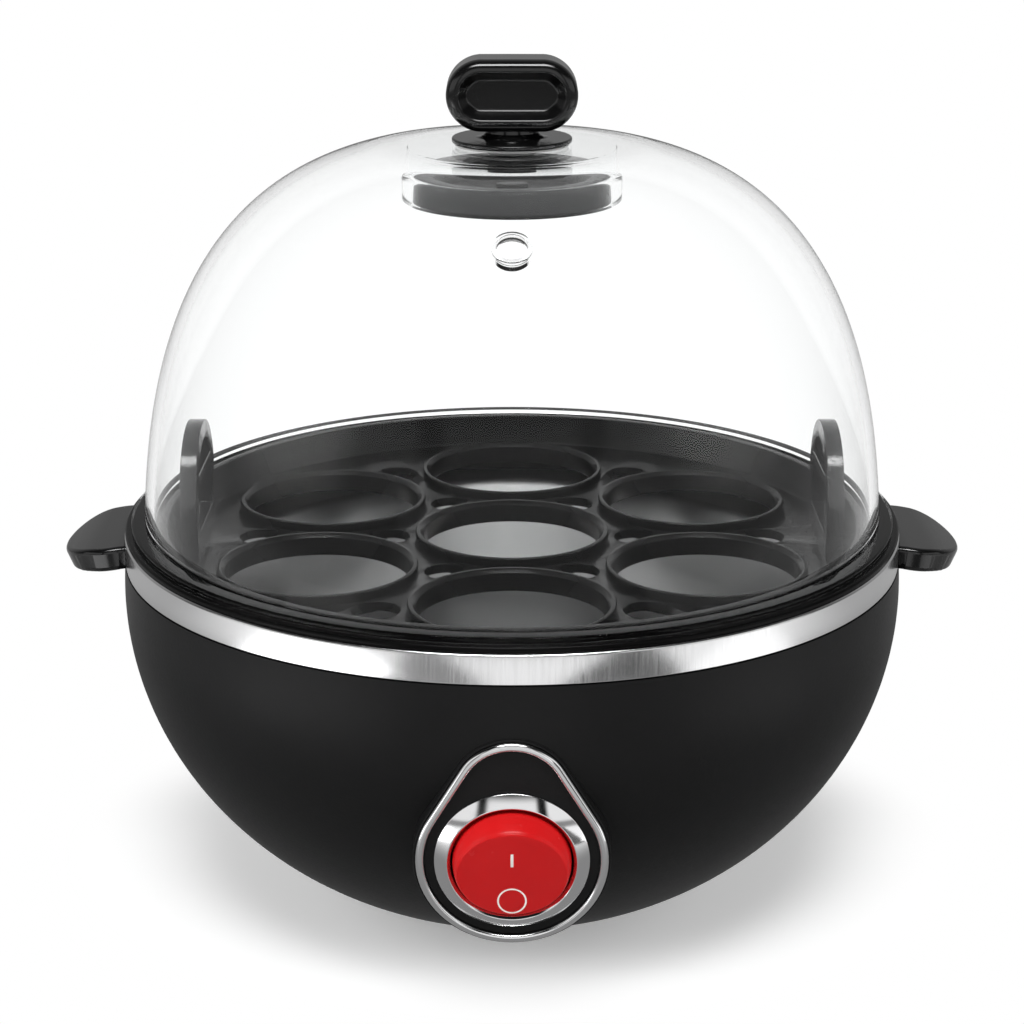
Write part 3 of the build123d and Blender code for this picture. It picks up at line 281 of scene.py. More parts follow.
def pick(piece, test):
    """Edit mode, with only the faces that pass a test selected."""
    only(piece)
    bpy.ops.object.mode_set(mode="EDIT")
    bpy.ops.mesh.select_mode(type="FACE")
    bpy.ops.mesh.select_all(action="DESELECT")
    bpy.ops.object.mode_set(mode="OBJECT")
    for face in piece.data.polygons:
        face.select = test(face)
    bpy.ops.object.mode_set(mode="EDIT")


def sunk(piece, test, steps):
    """The chosen faces inset and pushed in, step by step."""
    pick(piece, test)
    for inward, depth in steps:
        bpy.ops.mesh.inset(thickness=inward * MM, depth=-depth * MM)
    bpy.ops.object.mode_set(mode="OBJECT")
    return piece


def turned(name, outline, steps=128):
    """A closed outline of radii and heights spun once round the Z axis."""
    piece = drawn(name, [(r, 0, z) for r, z in outline], "NOTHING")
    bpy.ops.object.mode_set(mode="EDIT")
    bpy.ops.mesh.select_all(action="SELECT")
    bpy.ops.mesh.spin(steps=steps, angle=math.tau, center=(0, 0, 0), axis=(0, 0, 1))
    bpy.ops.object.mode_set(mode="OBJECT")
    return tidied(piece)


def thickened(name, outline, low, high):
    """A flat outline in X and Y extruded from one height to another."""
    piece = drawn(name, [(x, y, low) for x, y in outline])
    bpy.ops.object.mode_set(mode="EDIT")
    bpy.ops.mesh.select_all(action="SELECT")
    bpy.ops.mesh.extrude_region_move(TRANSFORM_OT_translate={"value": (0, 0, (high - low) * MM)})
    bpy.ops.object.mode_set(mode="OBJECT")
    return tidied(piece)


def ring_plate(name, outer, inner, low, high):
    """The strip between two matching outlines, bridged and then extruded."""
    piece = drawn(name, [(x, y, low) for x, y in outer], "NOTHING")
    only(piece, drawn(name + "_inside", [(x, y, low) for x, y in inner], "NOTHING"))
    bpy.ops.object.join()
    bpy.ops.object.mode_set(mode="EDIT")
    bpy.ops.mesh.select_all(action="SELECT")
    bpy.ops.mesh.bridge_edge_loops()
    bpy.ops.mesh.select_all(action="SELECT")
    bpy.ops.mesh.extrude_region_move(TRANSFORM_OT_translate={"value": (0, 0, (high - low) * MM)})
    bpy.ops.object.mode_set(mode="OBJECT")
    return tidied(piece)


def put(piece, place=(0, 0, 0), turn=(0, 0, 0)):
    """The piece turned by degrees and moved, with that kept in its mesh."""
    only(piece)
    piece.rotation_euler = [math.radians(angle) for angle in turn]
    piece.location = Vector(place) * MM
    bpy.ops.object.transform_apply(location=True, rotation=True, scale=True)
    return piece


def joined(*pieces):
    """The pieces made one object."""
    only(*pieces)
    bpy.ops.object.join()
    return pieces[0]


def copied(piece, name, mirrored=False):
    """A copy with its own mesh, mirrored left to right if asked."""
    twin = piece.copy()
    twin.data = piece.data.copy()
    twin.name = name
    twin.data.name = name
    bpy.context.collection.objects.link(twin)
    if mirrored:
        twin.scale.x = -1
        put(twin)
        tidied(twin)
    return twin


def shaped(piece, kind, **settings):
    """One modifier set and applied."""
    only(piece)
    modifier = piece.modifiers.new(kind.lower(), kind)
    for name, value in settings.items():
        setattr(modifier, name, value)
    bpy.ops.object.modifier_apply(modifier=modifier.name)
    return piece


def carved(piece, tool, operation="DIFFERENCE"):
    """The tool taken from the piece, or added to it."""
    shaped(piece, "BOOLEAN", operation=operation, solver="EXACT", object=tool)
    bpy.data.objects.remove(tool)
    return piece


def eased(piece, width, segments=3, angle=35):
    """Edges sharper than an angle rounded over."""
    shaped(piece, "BEVEL", width=width * MM, segments=segments, limit_method="ANGLE",
           angle_limit=math.radians(angle), harden_normals=False)
    return tidied(piece)


def fitted(piece, finish, body, slot, *stands_for):
    """The piece finished, riding on its body, in place of the nodes it stands for."""
    dress(piece, finish)
    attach(piece, body)
    if stands_for:
        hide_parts(*stands_for)
    return piece


def circle(radius, count=96, x=0.0, y=0.0, tall=1.0):
    """Points round a circle, or round an oval that is taller than wide."""
    angles = [math.tau * i / count for i in range(count)]
    return [(x + radius * math.cos(a), y + radius * tall * math.sin(a)) for a in angles]


def polar(radius, turn):
    """The point at a radius and an angle in degrees."""
    a = math.radians(turn)
    return radius * math.cos(a), radius * math.sin(a)


def bow(radius, height, first, last, count):
    """Points on an arc about a height on the middle line, from one angle to another."""
    turns = [first + (last - first) * i / (count - 1) for i in range(count)]
    return [(x, height + y) for x, y in (polar(radius, turn) for turn in turns)]


# Bowl: half ellipsoid, neck, well and deck, with the switch drum grown out of its front
BOWL_RADIUS, BOWL_DROP, BOWL_WALL = 86.3, 77.4, 2.6
FOOT, WAIST, SHOULDER = 5.5, 72.8, 79.3
NECK_RADIUS, NECK_TOP, WELL_RADIUS = 85.0, 85.0, 78.2
DECK, DECK_SHEET, DECK_HOLE = 72.0, 2.4, 69.5
INNER_NECK, WALL_TOP = 80.6, 76.7
COVER_RADIUS, COVER_SHEET, COVER_LIP, LIP_SHEET = 38.9, 2.0, 36.0, 0.6
EAR_SCREW_HEAD, EAR_SCREW_SINK, EAR_SCREW_OUT, EAR_SCREW_HEIGHT = 2.8, 3.4, 79.8, 81.6


def bowl_line(inset, low, high, count=30):
    """Points up the bowl, inset from its outer face."""
    low_turn, high_turn = (math.asin((z - WAIST) / (BOWL_DROP - inset)) for z in (low, high))
    turns = [low_turn + (high_turn - low_turn) * i / (count - 1) for i in range(count)]
    return [((BOWL_RADIUS - inset) * math.cos(t), WAIST + (BOWL_DROP - inset) * math.sin(t)) for t in turns]


# Switch: a teardrop drum that leans down, with its panel, trim and bezel on its front
SWITCH, REACH, SWITCH_TILT = 41.4, 83.1, 7.3
CROWN_CIRCLE, CROWN_RISE, ROUND_CIRCLE = 11.6, 15.2, 19.2
DRUM_DEPTH, DRUM_EDGE, BARREL_BORE = 24, 0.5, 13.9
PANEL_SINK, PANEL_GAP = 1.2, 0.1


def teardrop(grow):
    """The switch outline: two circles and their tangents, grown outward by an amount."""
    crown = bow(CROWN_CIRCLE + grow, CROWN_RISE, 30, 150, 25)
    return crown + bow(ROUND_CIRCLE + grow, 0, 150, 390, 55)


def on_drum(piece):
    """A piece made round the Z axis, set on the tilted front of the drum."""
    return put(piece, (0, -REACH, SWITCH), (90 + SWITCH_TILT, 0, 0))


cover_top = FOOT + COVER_SHEET
lip_top = cover_top + LIP_SHEET
outline = bowl_line(0, FOOT, SHOULDER, 44)
outline += rounded([(NECK_RADIUS, SHOULDER), (NECK_RADIUS, NECK_TOP, 0.4), (WELL_RADIUS, NECK_TOP),
                    (WELL_RADIUS, DECK)])
outline += [(DECK_HOLE, DECK), (DECK_HOLE, DECK - DECK_SHEET), (INNER_NECK, DECK - DECK_SHEET),
            (INNER_NECK, WALL_TOP)]
outline += reversed(bowl_line(BOWL_WALL, lip_top, WALL_TOP))
outline += [(COVER_LIP, lip_top), (COVER_LIP, cover_top), (COVER_RADIUS, cover_top), (COVER_RADIUS, FOOT)]
bowl = turned("bowl", outline, 192)
drum = on_drum(eased(thickened("drum", teardrop(DRUM_EDGE), -DRUM_DEPTH, 0), 0.25, 2, 60))
bowl = carved(bowl, drum, "UNION")
bore = thickened("bore", circle(BARREL_BORE), -26, 2)
pocket = thickened("pocket", teardrop(PANEL_GAP), -PANEL_SINK, 2)
bowl = carved(bowl, on_drum(bore))
bowl = carved(bowl, on_drum(pocket))
for side in (-1, 1):
    recess = thickened("recess", circle(EAR_SCREW_HEAD, 32), -EAR_SCREW_SINK, 0)
    bowl = carved(bowl, put(recess, (side * EAR_SCREW_OUT, 0, EAR_SCREW_HEIGHT), (0, side * 90, 0)))
fitted(tidied(bowl), matt_shell, "base", "matte_black", "base_housing")

# Steel band with its top edge rolled in over the neck
BAND_LOW, BAND_TOP, BAND_RADIUS, BAND_SHEET = 79.6, 85.9, 85.9, 0.8
ROLL_RADIUS = 78.3
outline = rounded([(BAND_RADIUS - BAND_SHEET, BAND_LOW), (BAND_RADIUS, BAND_LOW, 0.15),
                   (BAND_RADIUS, BAND_TOP, 0.6), (ROLL_RADIUS, BAND_TOP),
                   (ROLL_RADIUS, BAND_TOP - BAND_SHEET), (BAND_RADIUS - BAND_SHEET, BAND_TOP - BAND_SHEET)])
fitted(turned("band", outline, 192), band_steel, "base", "steel_band", "rim_band")

# Water dish, drawn in one piece, with its three studs
DISH_FLOOR, DISH_RADIUS, DISH_MOUTH, DISH_SHEET = 55.2, 50, 67.6, 1.0
FLANGE, FLANGE_RADIUS, SLOPE_SHEET = 74.2, 77.2, 0.44
STUD_RADIUS, STUD_CIRCLE, STUD_LOW, STUD_TOP = 1.5, 73.6, 64.2, 73.3
outline = rounded([(0, DISH_FLOOR), (DISH_RADIUS, DISH_FLOOR, 3.5), (DISH_MOUTH, FLANGE, 3.5),
                   (FLANGE_RADIUS, FLANGE), (FLANGE_RADIUS, FLANGE - DISH_SHEET),
                   (DISH_MOUTH + SLOPE_SHEET, FLANGE - DISH_SHEET, 2.5),
                   (DISH_RADIUS + SLOPE_SHEET, DISH_FLOOR - DISH_SHEET, 4.5), (0, DISH_FLOOR - DISH_SHEET)])
dish = turned("dish", outline)
for turn in (90, 210, 330):
    stud = thickened("stud", circle(STUD_RADIUS, 24, *polar(STUD_CIRCLE, turn)), STUD_LOW, STUD_TOP)
    dish = joined(dish, stud)
fitted(dish, dish_steel, "base", "dish_steel", "heating_plate")

# Cord gland at the back
GLAND_BORE, GLAND_NECK, GLAND_HEAD, GLAND_LENGTH, HEAD_SHEET = 3.4, 5.15, 7.2, 14, 1.8
GLAND_PLACE = (0, 70.5, 19.5)
outline = rounded([(GLAND_BORE, -GLAND_LENGTH), (GLAND_NECK, -GLAND_LENGTH), (GLAND_NECK, 0), (GLAND_HEAD, 0),
                   (GLAND_HEAD, HEAD_SHEET, 0.7), (GLAND_BORE, HEAD_SHEET, 0.4)])
gland = put(turned("gland", outline, 64), GLAND_PLACE, (-90, 0, 0))
fitted(gland, rubber, "base", "rubber_black", "cord_gland")

# Four feet, each with a stem and a barb through the bottom cover
PAD_RADIUS, STEM_RADIUS, BARB_RADIUS, BARB_TOP, FEET_CIRCLE = 6, 2.4, 3.2, 8.9, 27
outline = rounded([(0, 0), (PAD_RADIUS, 0, 0.9), (PAD_RADIUS, FOOT), (STEM_RADIUS, FOOT),
                   (STEM_RADIUS, cover_top), (BARB_RADIUS, cover_top), (BARB_RADIUS, BARB_TOP, 0.4),
                   (0, BARB_TOP)])
foot = turned("feet", outline, 48)
spots = [polar(FEET_CIRCLE, turn) for turn in (45, 135, 225, 315)]
feet = [put(copied(foot, "foot"), (x, y, 0)) for x, y in spots[1:]]
fitted(joined(put(foot, (*spots[0], 0)), *feet), rubber, "base", "rubber_black", "rubber_feet")

# Ears: an oval leaf cut to the band, bent down along lines across it, each a distance and an angle
EAR_TOP, EAR_SHEET, EAR_MIDDLE, EAR_REACH, EAR_WIDTH = 84.1, 5.2, 88.5, 12.15, 16.3
EAR_BENDS = [(86.4, 7.3), (91.6, 3.5), (92.6, 3.5), (93.8, 3.0), (95.2, 3.0), (96.8, 2.5)]
leaf = circle(EAR_REACH, 120, EAR_MIDDLE, 0, EAR_WIDTH / EAR_REACH)
ear = eased(thickened("ear_leaf_right", leaf, -EAR_SHEET, 0), 1.1, 5, 60)
ear = carved(ear, thickened("neck", circle(BAND_RADIUS + 0.1, 256), -20, 20))
only(ear)
bpy.ops.object.mode_set(mode="EDIT")
for x, angle in EAR_BENDS:
    bpy.ops.mesh.select_all(action="SELECT")
    bpy.ops.mesh.bisect(plane_co=(x * MM, 0, 0), plane_no=(1, 0, 0))
bpy.ops.object.mode_set(mode="OBJECT")
for x, angle in reversed(EAR_BENDS):
    pick(ear, lambda face: min(ear.data.vertices[i].co.x for i in face.vertices) > (x - 0.001) * MM)
    bpy.ops.transform.rotate(value=-math.radians(angle), orient_axis="Y", center_override=(x * MM, 0, 0))
    bpy.ops.object.mode_set(mode="OBJECT")
ear = tidied(put(ear, (0, 0, EAR_TOP)), 40)
fitted(ear, gloss_black, "base", "gloss_black", "ear_right")
fitted(copied(ear, "ear_leaf_left", mirrored=True), gloss_black, "base", "gloss_black", "ear_left")

# Chrome line round the switch panel, and the sloping ring round the rocker
TRIM_WIDTH, TRIM_RISE = 1.7, 0.9
BEZEL_BORE, BEZEL_RADIUS, BEZEL_RIM, BEZEL_CREST, BEZEL_RISE, BEZEL_LIP = 12.25, 15.5, 0.5, 12.95, 2.0, 1.3
trim = eased(ring_plate("trim", teardrop(0), teardrop(-TRIM_WIDTH), -PANEL_SINK, TRIM_RISE), 0.6, 4, 50)
fitted(on_drum(trim), chrome, "base", "chrome", "teardrop_trim")
outline = rounded([(BEZEL_BORE, 0), (BEZEL_RADIUS, 0), (BEZEL_RADIUS, BEZEL_RIM, 0.2),
                   (BEZEL_CREST, BEZEL_RISE, 0.35), (BEZEL_BORE, BEZEL_LIP, 0.2)])
fitted(on_drum(turned("bezel", outline)), chrome, "base", "chrome", "switch_bezel")

# Rocker: a hollow ball zone with a flat face, its lower end pressed in
PIVOT, ROCKER_TILT = (0, -83.0008, 41.4127), SWITCH_TILT + 12
BALL, ROCKER_WALL, ROCKER_SKIRT = 11.9, 1.8, -5.0
FACE, FACE_RADIUS, FACE_SHOULDER = 4.5, 11.02, 4.0
MARK_SINK, MARK_RISE = 0.05, 0.03


def on_rocker(piece):
    """A piece made round the Z axis, set on the rocker's pivot at the rocker's tilt."""
    return put(piece, PIVOT, (90 + ROCKER_TILT, 0, 0))


def ball_line(radius, low, high, count=20):
    """Points down a ball between two heights."""
    first, last = math.asin(high / radius), math.asin(low / radius)
    turns = [first + (last - first) * i / (count - 1) for i in range(count)]
    return [(radius * math.cos(t), radius * math.sin(t)) for t in turns]


outline = rounded([(0, FACE), (FACE_RADIUS, FACE, 0.45), (BALL, 0)])[:-1]
outline += ball_line(BALL, ROCKER_SKIRT, FACE_SHOULDER)
outline += reversed(ball_line(BALL - ROCKER_WALL, ROCKER_SKIRT, FACE - ROCKER_WALL))
outline.append((0, FACE - ROCKER_WALL))
fitted(on_rocker(turned("rocker", outline)), rocker_red, "rocker", "red_rocker", "rocker_button")
bar = [(-0.28, 2.4), (0.28, 2.4), (0.28, 5.9), (-0.28, 5.9)]
bar = thickened("mark_on", bar, FACE - MARK_SINK, FACE + MARK_RISE)
fitted(on_rocker(eased(bar, 0.02, 1)), mark_white, "rocker", "red_rocker")
loop_outside, loop_inside = circle(2.95, 64, 0, -7.0, 1.18), circle(2.6, 64, 0, -7.0, 1.2)
loop = ring_plate("mark_off", loop_outside, loop_inside, FACE - MARK_SINK, FACE + MARK_RISE)
fitted(on_rocker(eased(loop, 0.02, 1)), mark_white, "rocker", "red_rocker")

# Egg tray: a dished plate with a rolled rim, seven seats and twelve steam holes
TRAY_FLOOR, TRAY_SHEET, TRAY_RADIUS, TRAY_SKIRT = 81.6, 2.0, 76.0, 77.8
TRAY_RIM, TRAY_TOP, TRAY_LIP, TRAY_LIP_TOP = 85.7, 87.35, 78.6, 88.35
SEAT_CIRCLE, SEAT_HOLE, SEAT_RADIUS, SEAT_WALL = 48.2, 20.7, 19.8, 1.8
SEAT_LOW, SEAT_TOP, SEAT_LEAD = 78.6, 83.6, 0.9
INNER_HOLES, OUTER_HOLES = (27.83, 5.03), (56.0, 5.2)
outline = rounded([(0, TRAY_FLOOR - TRAY_SHEET), (TRAY_RADIUS, TRAY_FLOOR - TRAY_SHEET, 0.6),
                   (TRAY_SKIRT, 82.9, 0.4), (TRAY_SKIRT, BAND_TOP), (TRAY_RIM, BAND_TOP, 0.5),
                   (TRAY_RIM, TRAY_TOP, 0.6), (TRAY_LIP, TRAY_TOP), (TRAY_LIP, TRAY_LIP_TOP, 0.4),
                   (76.4, TRAY_LIP_TOP, 0.5), (74.0, TRAY_FLOOR, 1.2), (0, TRAY_FLOOR)])
tray = turned("tray", outline, 160)
seats = [(0, 0)] + [polar(SEAT_CIRCLE, turn) for turn in range(30, 390, 60)]
holes = [(seat, SEAT_HOLE) for seat in seats]
for turn in range(0, 360, 60):
    holes += [(polar(out, turn), radius) for out, radius in (INNER_HOLES, OUTER_HOLES)]
cutters = [thickened("hole", circle(radius, 64, *place), 78, 84.5) for place, radius in holes]
tray = eased(carved(tray, joined(*cutters)), 0.25, 2, 50)
outline = rounded([(SEAT_RADIUS, SEAT_LOW, 0.3), (SEAT_RADIUS + SEAT_WALL, SEAT_LOW, 0.3),
                   (SEAT_RADIUS + SEAT_WALL, SEAT_TOP, 0.4), (SEAT_RADIUS + SEAT_LEAD, SEAT_TOP, 0.3),
                   (SEAT_RADIUS, SEAT_TOP - SEAT_LEAD, 0.3)], 3)
seat = turned("seat", outline, 96)
walls = [put(copied(seat, "seat"), (x, y, 0)) for x, y in seats[1:]]
fitted(joined(tray, seat, *walls), tray_black, "tray", "satin_black", "egg_tray")

# Arch handles with a low and a high window, standing on tabs through the tray
ARCH_RADIUS, ARCH_MIDDLE, ARCH_SHEET, ARCH_OUT = 15.5, 92.9, 3.6, 68.4
TAB_NEAR, TAB_FAR, TAB_LOW = 7, 13, 78.2
WINDOW_RADIUS, WINDOW_FOOT, BAR_LOW, BAR_TOP = 11.5, 86.1, 18.2, 30.3
left_tab = [(-ARCH_RADIUS, TRAY_FLOOR), (-TAB_FAR, TRAY_FLOOR), (-TAB_FAR, TAB_LOW), (-TAB_NEAR, TAB_LOW),
            (-TAB_NEAR, TRAY_FLOOR)]
tabs = left_tab + [(-x, y) for x, y in reversed(left_tab)]
arch = thickened("arch_right", bow(ARCH_RADIUS, ARCH_MIDDLE, 0, 180, 37) + tabs, 0, ARCH_SHEET)
low_right = [(WINDOW_RADIUS, WINDOW_FOOT)] + bow(WINDOW_RADIUS, ARCH_MIDDLE, 0, BAR_LOW, 3)
low_window = low_right + [(-x, y) for x, y in reversed(low_right)]
high_window = bow(WINDOW_RADIUS, ARCH_MIDDLE, BAR_TOP, 180 - BAR_TOP, 25)
for window in (low_window, high_window):
    arch = carved(arch, thickened("window", window, -1, 5))
arch = put(eased(arch, 0.7, 4, 50), (ARCH_OUT, 0, 0), (90, 0, 90))
fitted(arch, gloss_black, "tray", "gloss_black", "tray_handle_right")
fitted(copied(arch, "arch_left", mirrored=True), gloss_black, "tray", "gloss_black", "tray_handle_left")

# Clear dome: a superellipse with a flat crown, turned with its rim
DOME_RADIUS, DOME_RISE, DOME_BASE, DOME_POWER, DOME_WALL = 81.84, 109.55, 62.18, 2.88, 2.0
CROWN, CROWN_JOIN, CROWN_FLAT, CROWN_FLAT_INSIDE = 169.9, 33.0, 24.87, 24.1
KNOB_HOLE, RIM_RADIUS, RIM_TOP, RIM_BORE, RIM_EDGE = 3.6, 84.3, 88.8, 79.4, 0.45


def dome_height(inset, r):
    """The height of the dome's face at a radius."""
    share = (r / (DOME_RADIUS - inset)) ** DOME_POWER
    return DOME_BASE + (DOME_RISE - inset) * (1 - share) ** (1 / DOME_POWER)


def dome_line(inset, low, crown, edge):
    """Points from the flat crown's edge over its arc and down the dome."""
    drop, run = crown - dome_height(inset, CROWN_JOIN), CROWN_JOIN - edge
    bend = (run * run + drop * drop) / (2 * drop)
    arc = [(edge + bend * math.sin(t), crown - bend * (1 - math.cos(t)))
           for t in [math.asin(run / bend) * i / 8 for i in range(8)]]
    span, rise, share = DOME_RADIUS - inset, DOME_RISE - inset, 2 / DOME_POWER
    first = math.asin((CROWN_JOIN / span) ** (DOME_POWER / 2))
    last = math.acos(((low - DOME_BASE) / rise) ** (DOME_POWER / 2))
    turns = [first + (last - first) * i / 51 for i in range(52)]
    return arc + [(span * math.sin(t) ** share, DOME_BASE + rise * math.cos(t) ** share) for t in turns]


outline = [(KNOB_HOLE, CROWN)] + dome_line(0, RIM_TOP, CROWN, CROWN_FLAT)
outline += rounded([outline[-1], (RIM_RADIUS, RIM_TOP, RIM_EDGE), (RIM_RADIUS, TRAY_TOP, RIM_EDGE),
                    (RIM_BORE, TRAY_TOP)])[1:-1]
outline += reversed(dome_line(DOME_WALL, TRAY_TOP, CROWN - DOME_WALL, CROWN_FLAT_INSIDE))
outline.append((KNOB_HOLE, CROWN - DOME_WALL))
dome = turned("dome", outline, 192)

# Vent: a round hole square to the dome's face, with a raised rim and a wider bore inside
VENT_OUT, VENT_LEAN, VENT_RADIUS = 54.5, 38.45, 3.15
VENT_RIM_BORE, VENT_RIM_RADIUS, VENT_RIM_RISE = 3.1, 4.1, 0.7
COUNTERBORE, COUNTERBORE_TOP = 3.95, -0.8
vent_place = (0, -VENT_OUT, dome_height(0, VENT_OUT))
rim = rounded([(VENT_RIM_BORE, -1.0), (VENT_RIM_RADIUS, -1.0), (VENT_RIM_RADIUS, VENT_RIM_RISE, 0.35),
               (VENT_RIM_BORE, VENT_RIM_RISE, 0.2)])
dome = carved(dome, put(turned("vent_rim", rim, 64), vent_place, (VENT_LEAN, 0, 0)), "UNION")
wide_bore = [(0, -6), (COUNTERBORE, -6), (COUNTERBORE, COUNTERBORE_TOP), (0, COUNTERBORE_TOP)]
for tool in (turned("wide_bore", wide_bore, 64), thickened("vent_hole", circle(VENT_RADIUS, 64), -6, 4)):
    dome = carved(dome, put(tool, vent_place, (VENT_LEAN, 0, 0)))
fitted(tidied(dome, 25), clear_lid, "lid", "clear_lid", "lid_dome")

# Clear collar that hangs from the crown by a thin web, with the dished cap snapped into it
COLLAR_LOW, COLLAR_TOP, COLLAR_BORE, COLLAR_RADIUS = 157.8, 163.4, 21.35, 23.6
WEB_LOW, WEB_TOP, WEB_BORE, WEB_RADIUS = 163.5, 167.85, 22.1, 22.5
CAP_RADIUS, CAP_TOP, DISHED, BOSS_RADIUS, BOSS_TOP = 21.2, 163.3, 160.4, 3.4, 161.6
outline = rounded([(COLLAR_BORE, COLLAR_LOW, 0.3), (COLLAR_RADIUS, COLLAR_LOW, 0.7),
                   (COLLAR_RADIUS, COLLAR_TOP, 0.8), (COLLAR_BORE, COLLAR_TOP, 0.3)])
fitted(turned("collar", outline), clear_collar, "lid", "clear_lid", "lid_collar")
outline = [(WEB_BORE, WEB_LOW), (WEB_RADIUS, WEB_LOW), (WEB_RADIUS, WEB_TOP), (WEB_BORE, WEB_TOP)]
fitted(turned("collar_web", outline), clear_web, "lid", "clear_lid", "lid_collar")
outline = rounded([(0, COLLAR_LOW), (CAP_RADIUS, COLLAR_LOW, 0.8), (CAP_RADIUS, CAP_TOP, 1.2),
                   (17.0, 163.1, 0.8), (13.8, DISHED, 1.0), (BOSS_RADIUS, DISHED, 0.2),
                   (BOSS_RADIUS, BOSS_TOP, 0.4), (0, BOSS_TOP)])
fitted(turned("cap", outline), cap_grey_painted_sheen, "lid", "gloss_black", "knob_disc")

# Knob: a pill with a stepped recess in both faces, on a flared neck and flange
KNOB_TOP, KNOB_ROUND, KNOB_WIDTH, KNOB_THICK = 188.5, 7.65, 28.0, 12.5
KNOB_FLANGE, FLANGE_LOW, FLANGE_TOP, FLANGE_EDGE = 12.9, 170.4, 171.5, 0.35
straight = KNOB_WIDTH / 2 - KNOB_ROUND
pill_line = [(x + math.copysign(straight, x) if abs(x) > 0.01 else x, y) for x, y in circle(KNOB_ROUND, 96)]
pill = eased(thickened("knob", pill_line, -KNOB_THICK / 2, KNOB_THICK / 2), 2.2, 7, 60)
# Each step of the grip goes inward and deeper
grip = [(0.2, 0), (0.15, 0.04), (0.15, 0.12), (0.15, 0.24), (1.25, 2.0), (0.15, 0.2), (0.2, 0.12),
        (0.25, 0.04), (1.0, 0)]
pill = sunk(pill, lambda face: abs(face.normal.z) > 0.999 and face.area > 0.0001, grip)
pill = put(tidied(pill, 50), (0, 0, KNOB_TOP - KNOB_ROUND), (90, 0, 0))
# Half width, half depth and height of each ring up the neck
flare = [(7.9, 4.9, 171.5), (6.9, 5.0, 171.62), (6.2, 4.6, 171.95), (5.7, 4.35, 172.5), (5.5, 4.25, 173.2),
         (5.5, 4.25, 173.8), (5.8, 4.3, 174.6), (6.6, 4.4, 175.2)]
neck = eased(thickened("knob_neck", circle(KNOB_FLANGE, 96), FLANGE_LOW, FLANGE_TOP), FLANGE_EDGE, 3, 60)
pick(neck, lambda face: face.normal.z > 0.999)
wide = deep = KNOB_FLANGE - FLANGE_EDGE
high = FLANGE_TOP
for width, depth, height in flare:
    bpy.ops.mesh.extrude_region_move(TRANSFORM_OT_translate={"value": (0, 0, (height - high) * MM)})
    bpy.ops.transform.resize(value=(width / wide, depth / deep, 1), center_override=(0, 0, height * MM))
    wide, deep, high = width, depth, height
bpy.ops.object.mode_set(mode="OBJECT")
fitted(joined(pill, tidied(neck, 40)), gloss_black, "lid", "gloss_black", "lid_knob")

# From here on sizes are metres. Camera at the photograph's height and angle
CAMERA_BACK, CAMERA_HEIGHT, CAMERA_DOWN = 0.5459, 0.2621, 17.76
bpy.ops.object.camera_add(location=(0, -CAMERA_BACK, CAMERA_HEIGHT),
                          rotation=(math.radians(90 - CAMERA_DOWN), 0, 0))
camera = bpy.context.object
camera.data.lens = 90.07
camera.data.sensor_width = 36
camera.data.clip_start = 0.01
bpy.context.scene.camera = camera

# The kinds of ray that the floor and the surroundings tell apart
RAYS = ("Camera", "Transmission", "Glossy")

# Pale floor: white far away, keeping the shadow near the cooker, and dimmer in reflections
bpy.ops.mesh.primitive_plane_add(size=30)
floor = bpy.context.object
floor.name = "floor"
pale = Finish("pale_floor", (0.86, 0.86, 0.86), Roughness=0.9, Specular_IOR_Level=0.0)
pale.set(Base_Color=pale.blend(pale.noise(3.0), (0.855, 0.855, 0.855), (0.865, 0.865, 0.865)))
direct, through, glossy = (pale.node("LightPath", {}, {}, "Is %s Ray" % name) for name in RAYS)
here = pale.node("TexCoord", {}, {}, "Object")
oval = pale.node("VectorMath", {"operation": "MULTIPLY"}, {0: here, 1: (0.86, 1, 1)})
away = pale.node("VectorMath", {"operation": "DISTANCE"}, {0: oval, 1: (0, 0.018, 0)}, "Value")
forward = pale.node("SeparateXYZ", {}, {"Vector": here}, "Y")
far = away.between(0.058, 0.092)
front = forward.between(0.08, -0.18)
dimmed = away.between(0.14, 0.24) * away.between(0.5, 0.8, 1.0, 0.0)
plain = Value(pale, pale.shader.outputs[0])


def glow(strength):
    """Plain white light from the floor."""
    return pale.node("Emission", {}, {"Strength": strength})


def mixed(share, first, second):
    """Two of the floor's shaders mixed by a share."""
    return pale.node("MixShader", {}, {0: share, 1: first, 2: second})


lifted = pale.node("AddShader", {}, {0: plain, 1: glow(0.3)})
mirrored = mixed(dimmed, glow(0.26), mixed(front, glow(0.45), glow(1.1)))
unseen = mixed(glossy, plain, mirrored)
seen = mixed(far, lifted, glow(1.0 + through * 0.06))
pale.feed(pale.surface, mixed(direct.math("MAXIMUM", through), unseen, seen))
floor.data.materials.append(pale.material)


def card(name, turn, near, far_end, width, strength):
    """A card on the floor before the cooker that shows only in the steel."""
    bpy.ops.mesh.primitive_plane_add(size=1)
    piece = bpy.context.object
    piece.name = name
    piece.scale = (width, far_end - near, 1)
    a = math.radians(turn)
    middle = (near + far_end) / 2
    piece.location = (middle * math.sin(a), -0.05 - middle * math.cos(a), 0.001)
    piece.rotation_euler = (0, 0, a)
    paper = Finish(name, (0.02, 0.02, 0.02), Roughness=0.9, Specular_IOR_Level=0.0)
    shade = paper.noise(8.0)
    colour = [strength] * 3
    paper.set(Emission_Color=paper.blend(shade, colour, [0.97 * c for c in colour]), Emission_Strength=1.0)
    piece.data.materials.append(paper.material)
    piece.visible_camera = False
    piece.visible_transmission = False
    piece.visible_diffuse = False
    piece.visible_shadow = False


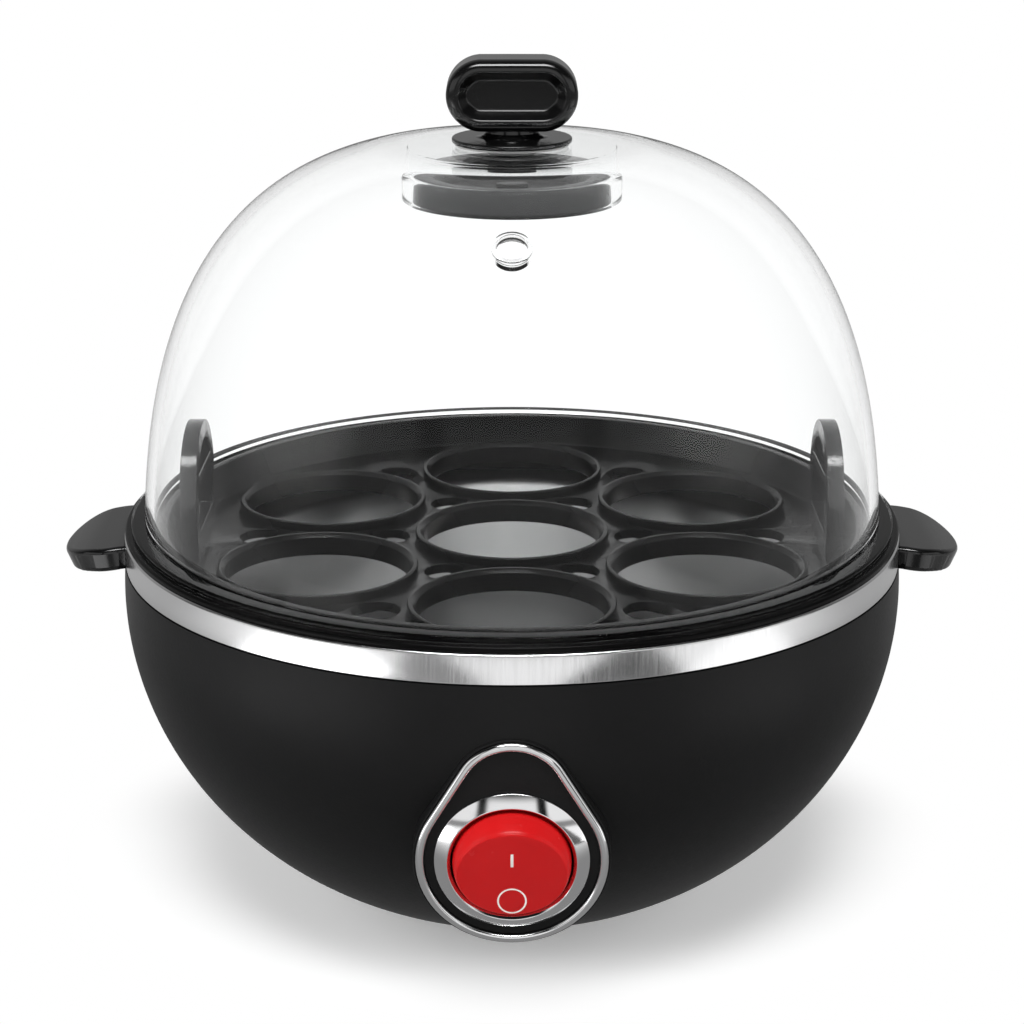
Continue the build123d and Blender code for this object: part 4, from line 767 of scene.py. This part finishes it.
card("left_bright_card", -58, 0.17, 0.5, 0.18, 2.6)
card("left_dark_card", -24, 0.15, 0.6, 0.09, 0.25)
card("right_dark_card", 34, 0.15, 0.6, 0.11, 0.1)
card("right_bright_card", 70, 0.16, 0.55, 0.12, 1.4)

# White surroundings where they are seen, dim as light, and in reflections a belt with two streaks
world = bpy.data.worlds.new("surroundings")
bpy.context.scene.world = world
world.use_nodes = True
around = Nodes(world.node_tree)
direct, through, glossy = (around.node("LightPath", {}, {}, "Is %s Ray" % name) for name in RAYS)
way = around.node("TexCoord", {}, {}, "Generated")
sideways, toward, upward = (around.node("SeparateXYZ", {}, {"Vector": way}, axis) for axis in "XYZ")
belt = upward.between(-0.04, 0.04) * upward.between(0.3, 0.5, 1.0, 0.0) * toward.between(-0.1, 0.1, 1.0, 0.0)
streaks = (sideways.math("ABSOLUTE") - 0.41).math("ABSOLUTE").between(0.03, 0.1)
behind = toward.between(0.0, 0.75, 0.2, 1.0)
light = 0.2 + glossy * (behind * 0.4 - 0.27 + belt * streaks * 0.9)
background = world.node_tree.nodes["Background"]
around.feed(background.inputs["Color"], (1, 1, 1, 1))
around.feed(background.inputs["Strength"], direct.math("MAXIMUM", through).math("MAXIMUM", light))


def softbox(name, place, aim, size, power, mirrored=False):
    """A rectangular lamp that points at a place and fades towards its edges."""
    bpy.ops.object.light_add(type="AREA", location=place)
    lamp = bpy.context.object
    lamp.name = name
    lamp.data.shape = "RECTANGLE"
    lamp.data.size, lamp.data.size_y = size
    lamp.data.energy = power
    lamp.rotation_euler = (Vector(aim) - Vector(place)).to_track_quat("-Z", "Y").to_euler()
    lamp.visible_glossy = mirrored
    lamp.data.use_nodes = True
    fade = Nodes(lamp.data.node_tree)
    spot = fade.node("NewGeometry", {}, {}, "Parametric")
    across = fade.node("SeparateXYZ", {}, {"Vector": spot}, "X")
    along = fade.node("SeparateXYZ", {}, {"Vector": spot}, "Y")
    strength = (across * (1 - across)) * (along * (1 - along)) * 36.0
    fade.feed(lamp.data.node_tree.nodes["Emission"].inputs["Strength"], strength)


softbox("left_softbox", (-1.2, -0.35, 0.6), (0, 0, 0.08), (1.2, 1.4), 12)
softbox("right_softbox", (1.2, -0.35, 0.6), (0, 0, 0.08), (1.2, 1.4), 8)
softbox("top_softbox", (0, -0.55, 1.15), (0, 0, 0.1), (1.0, 0.4), 12, mirrored=True)

bpy.context.scene.view_settings.view_transform = "Standard"
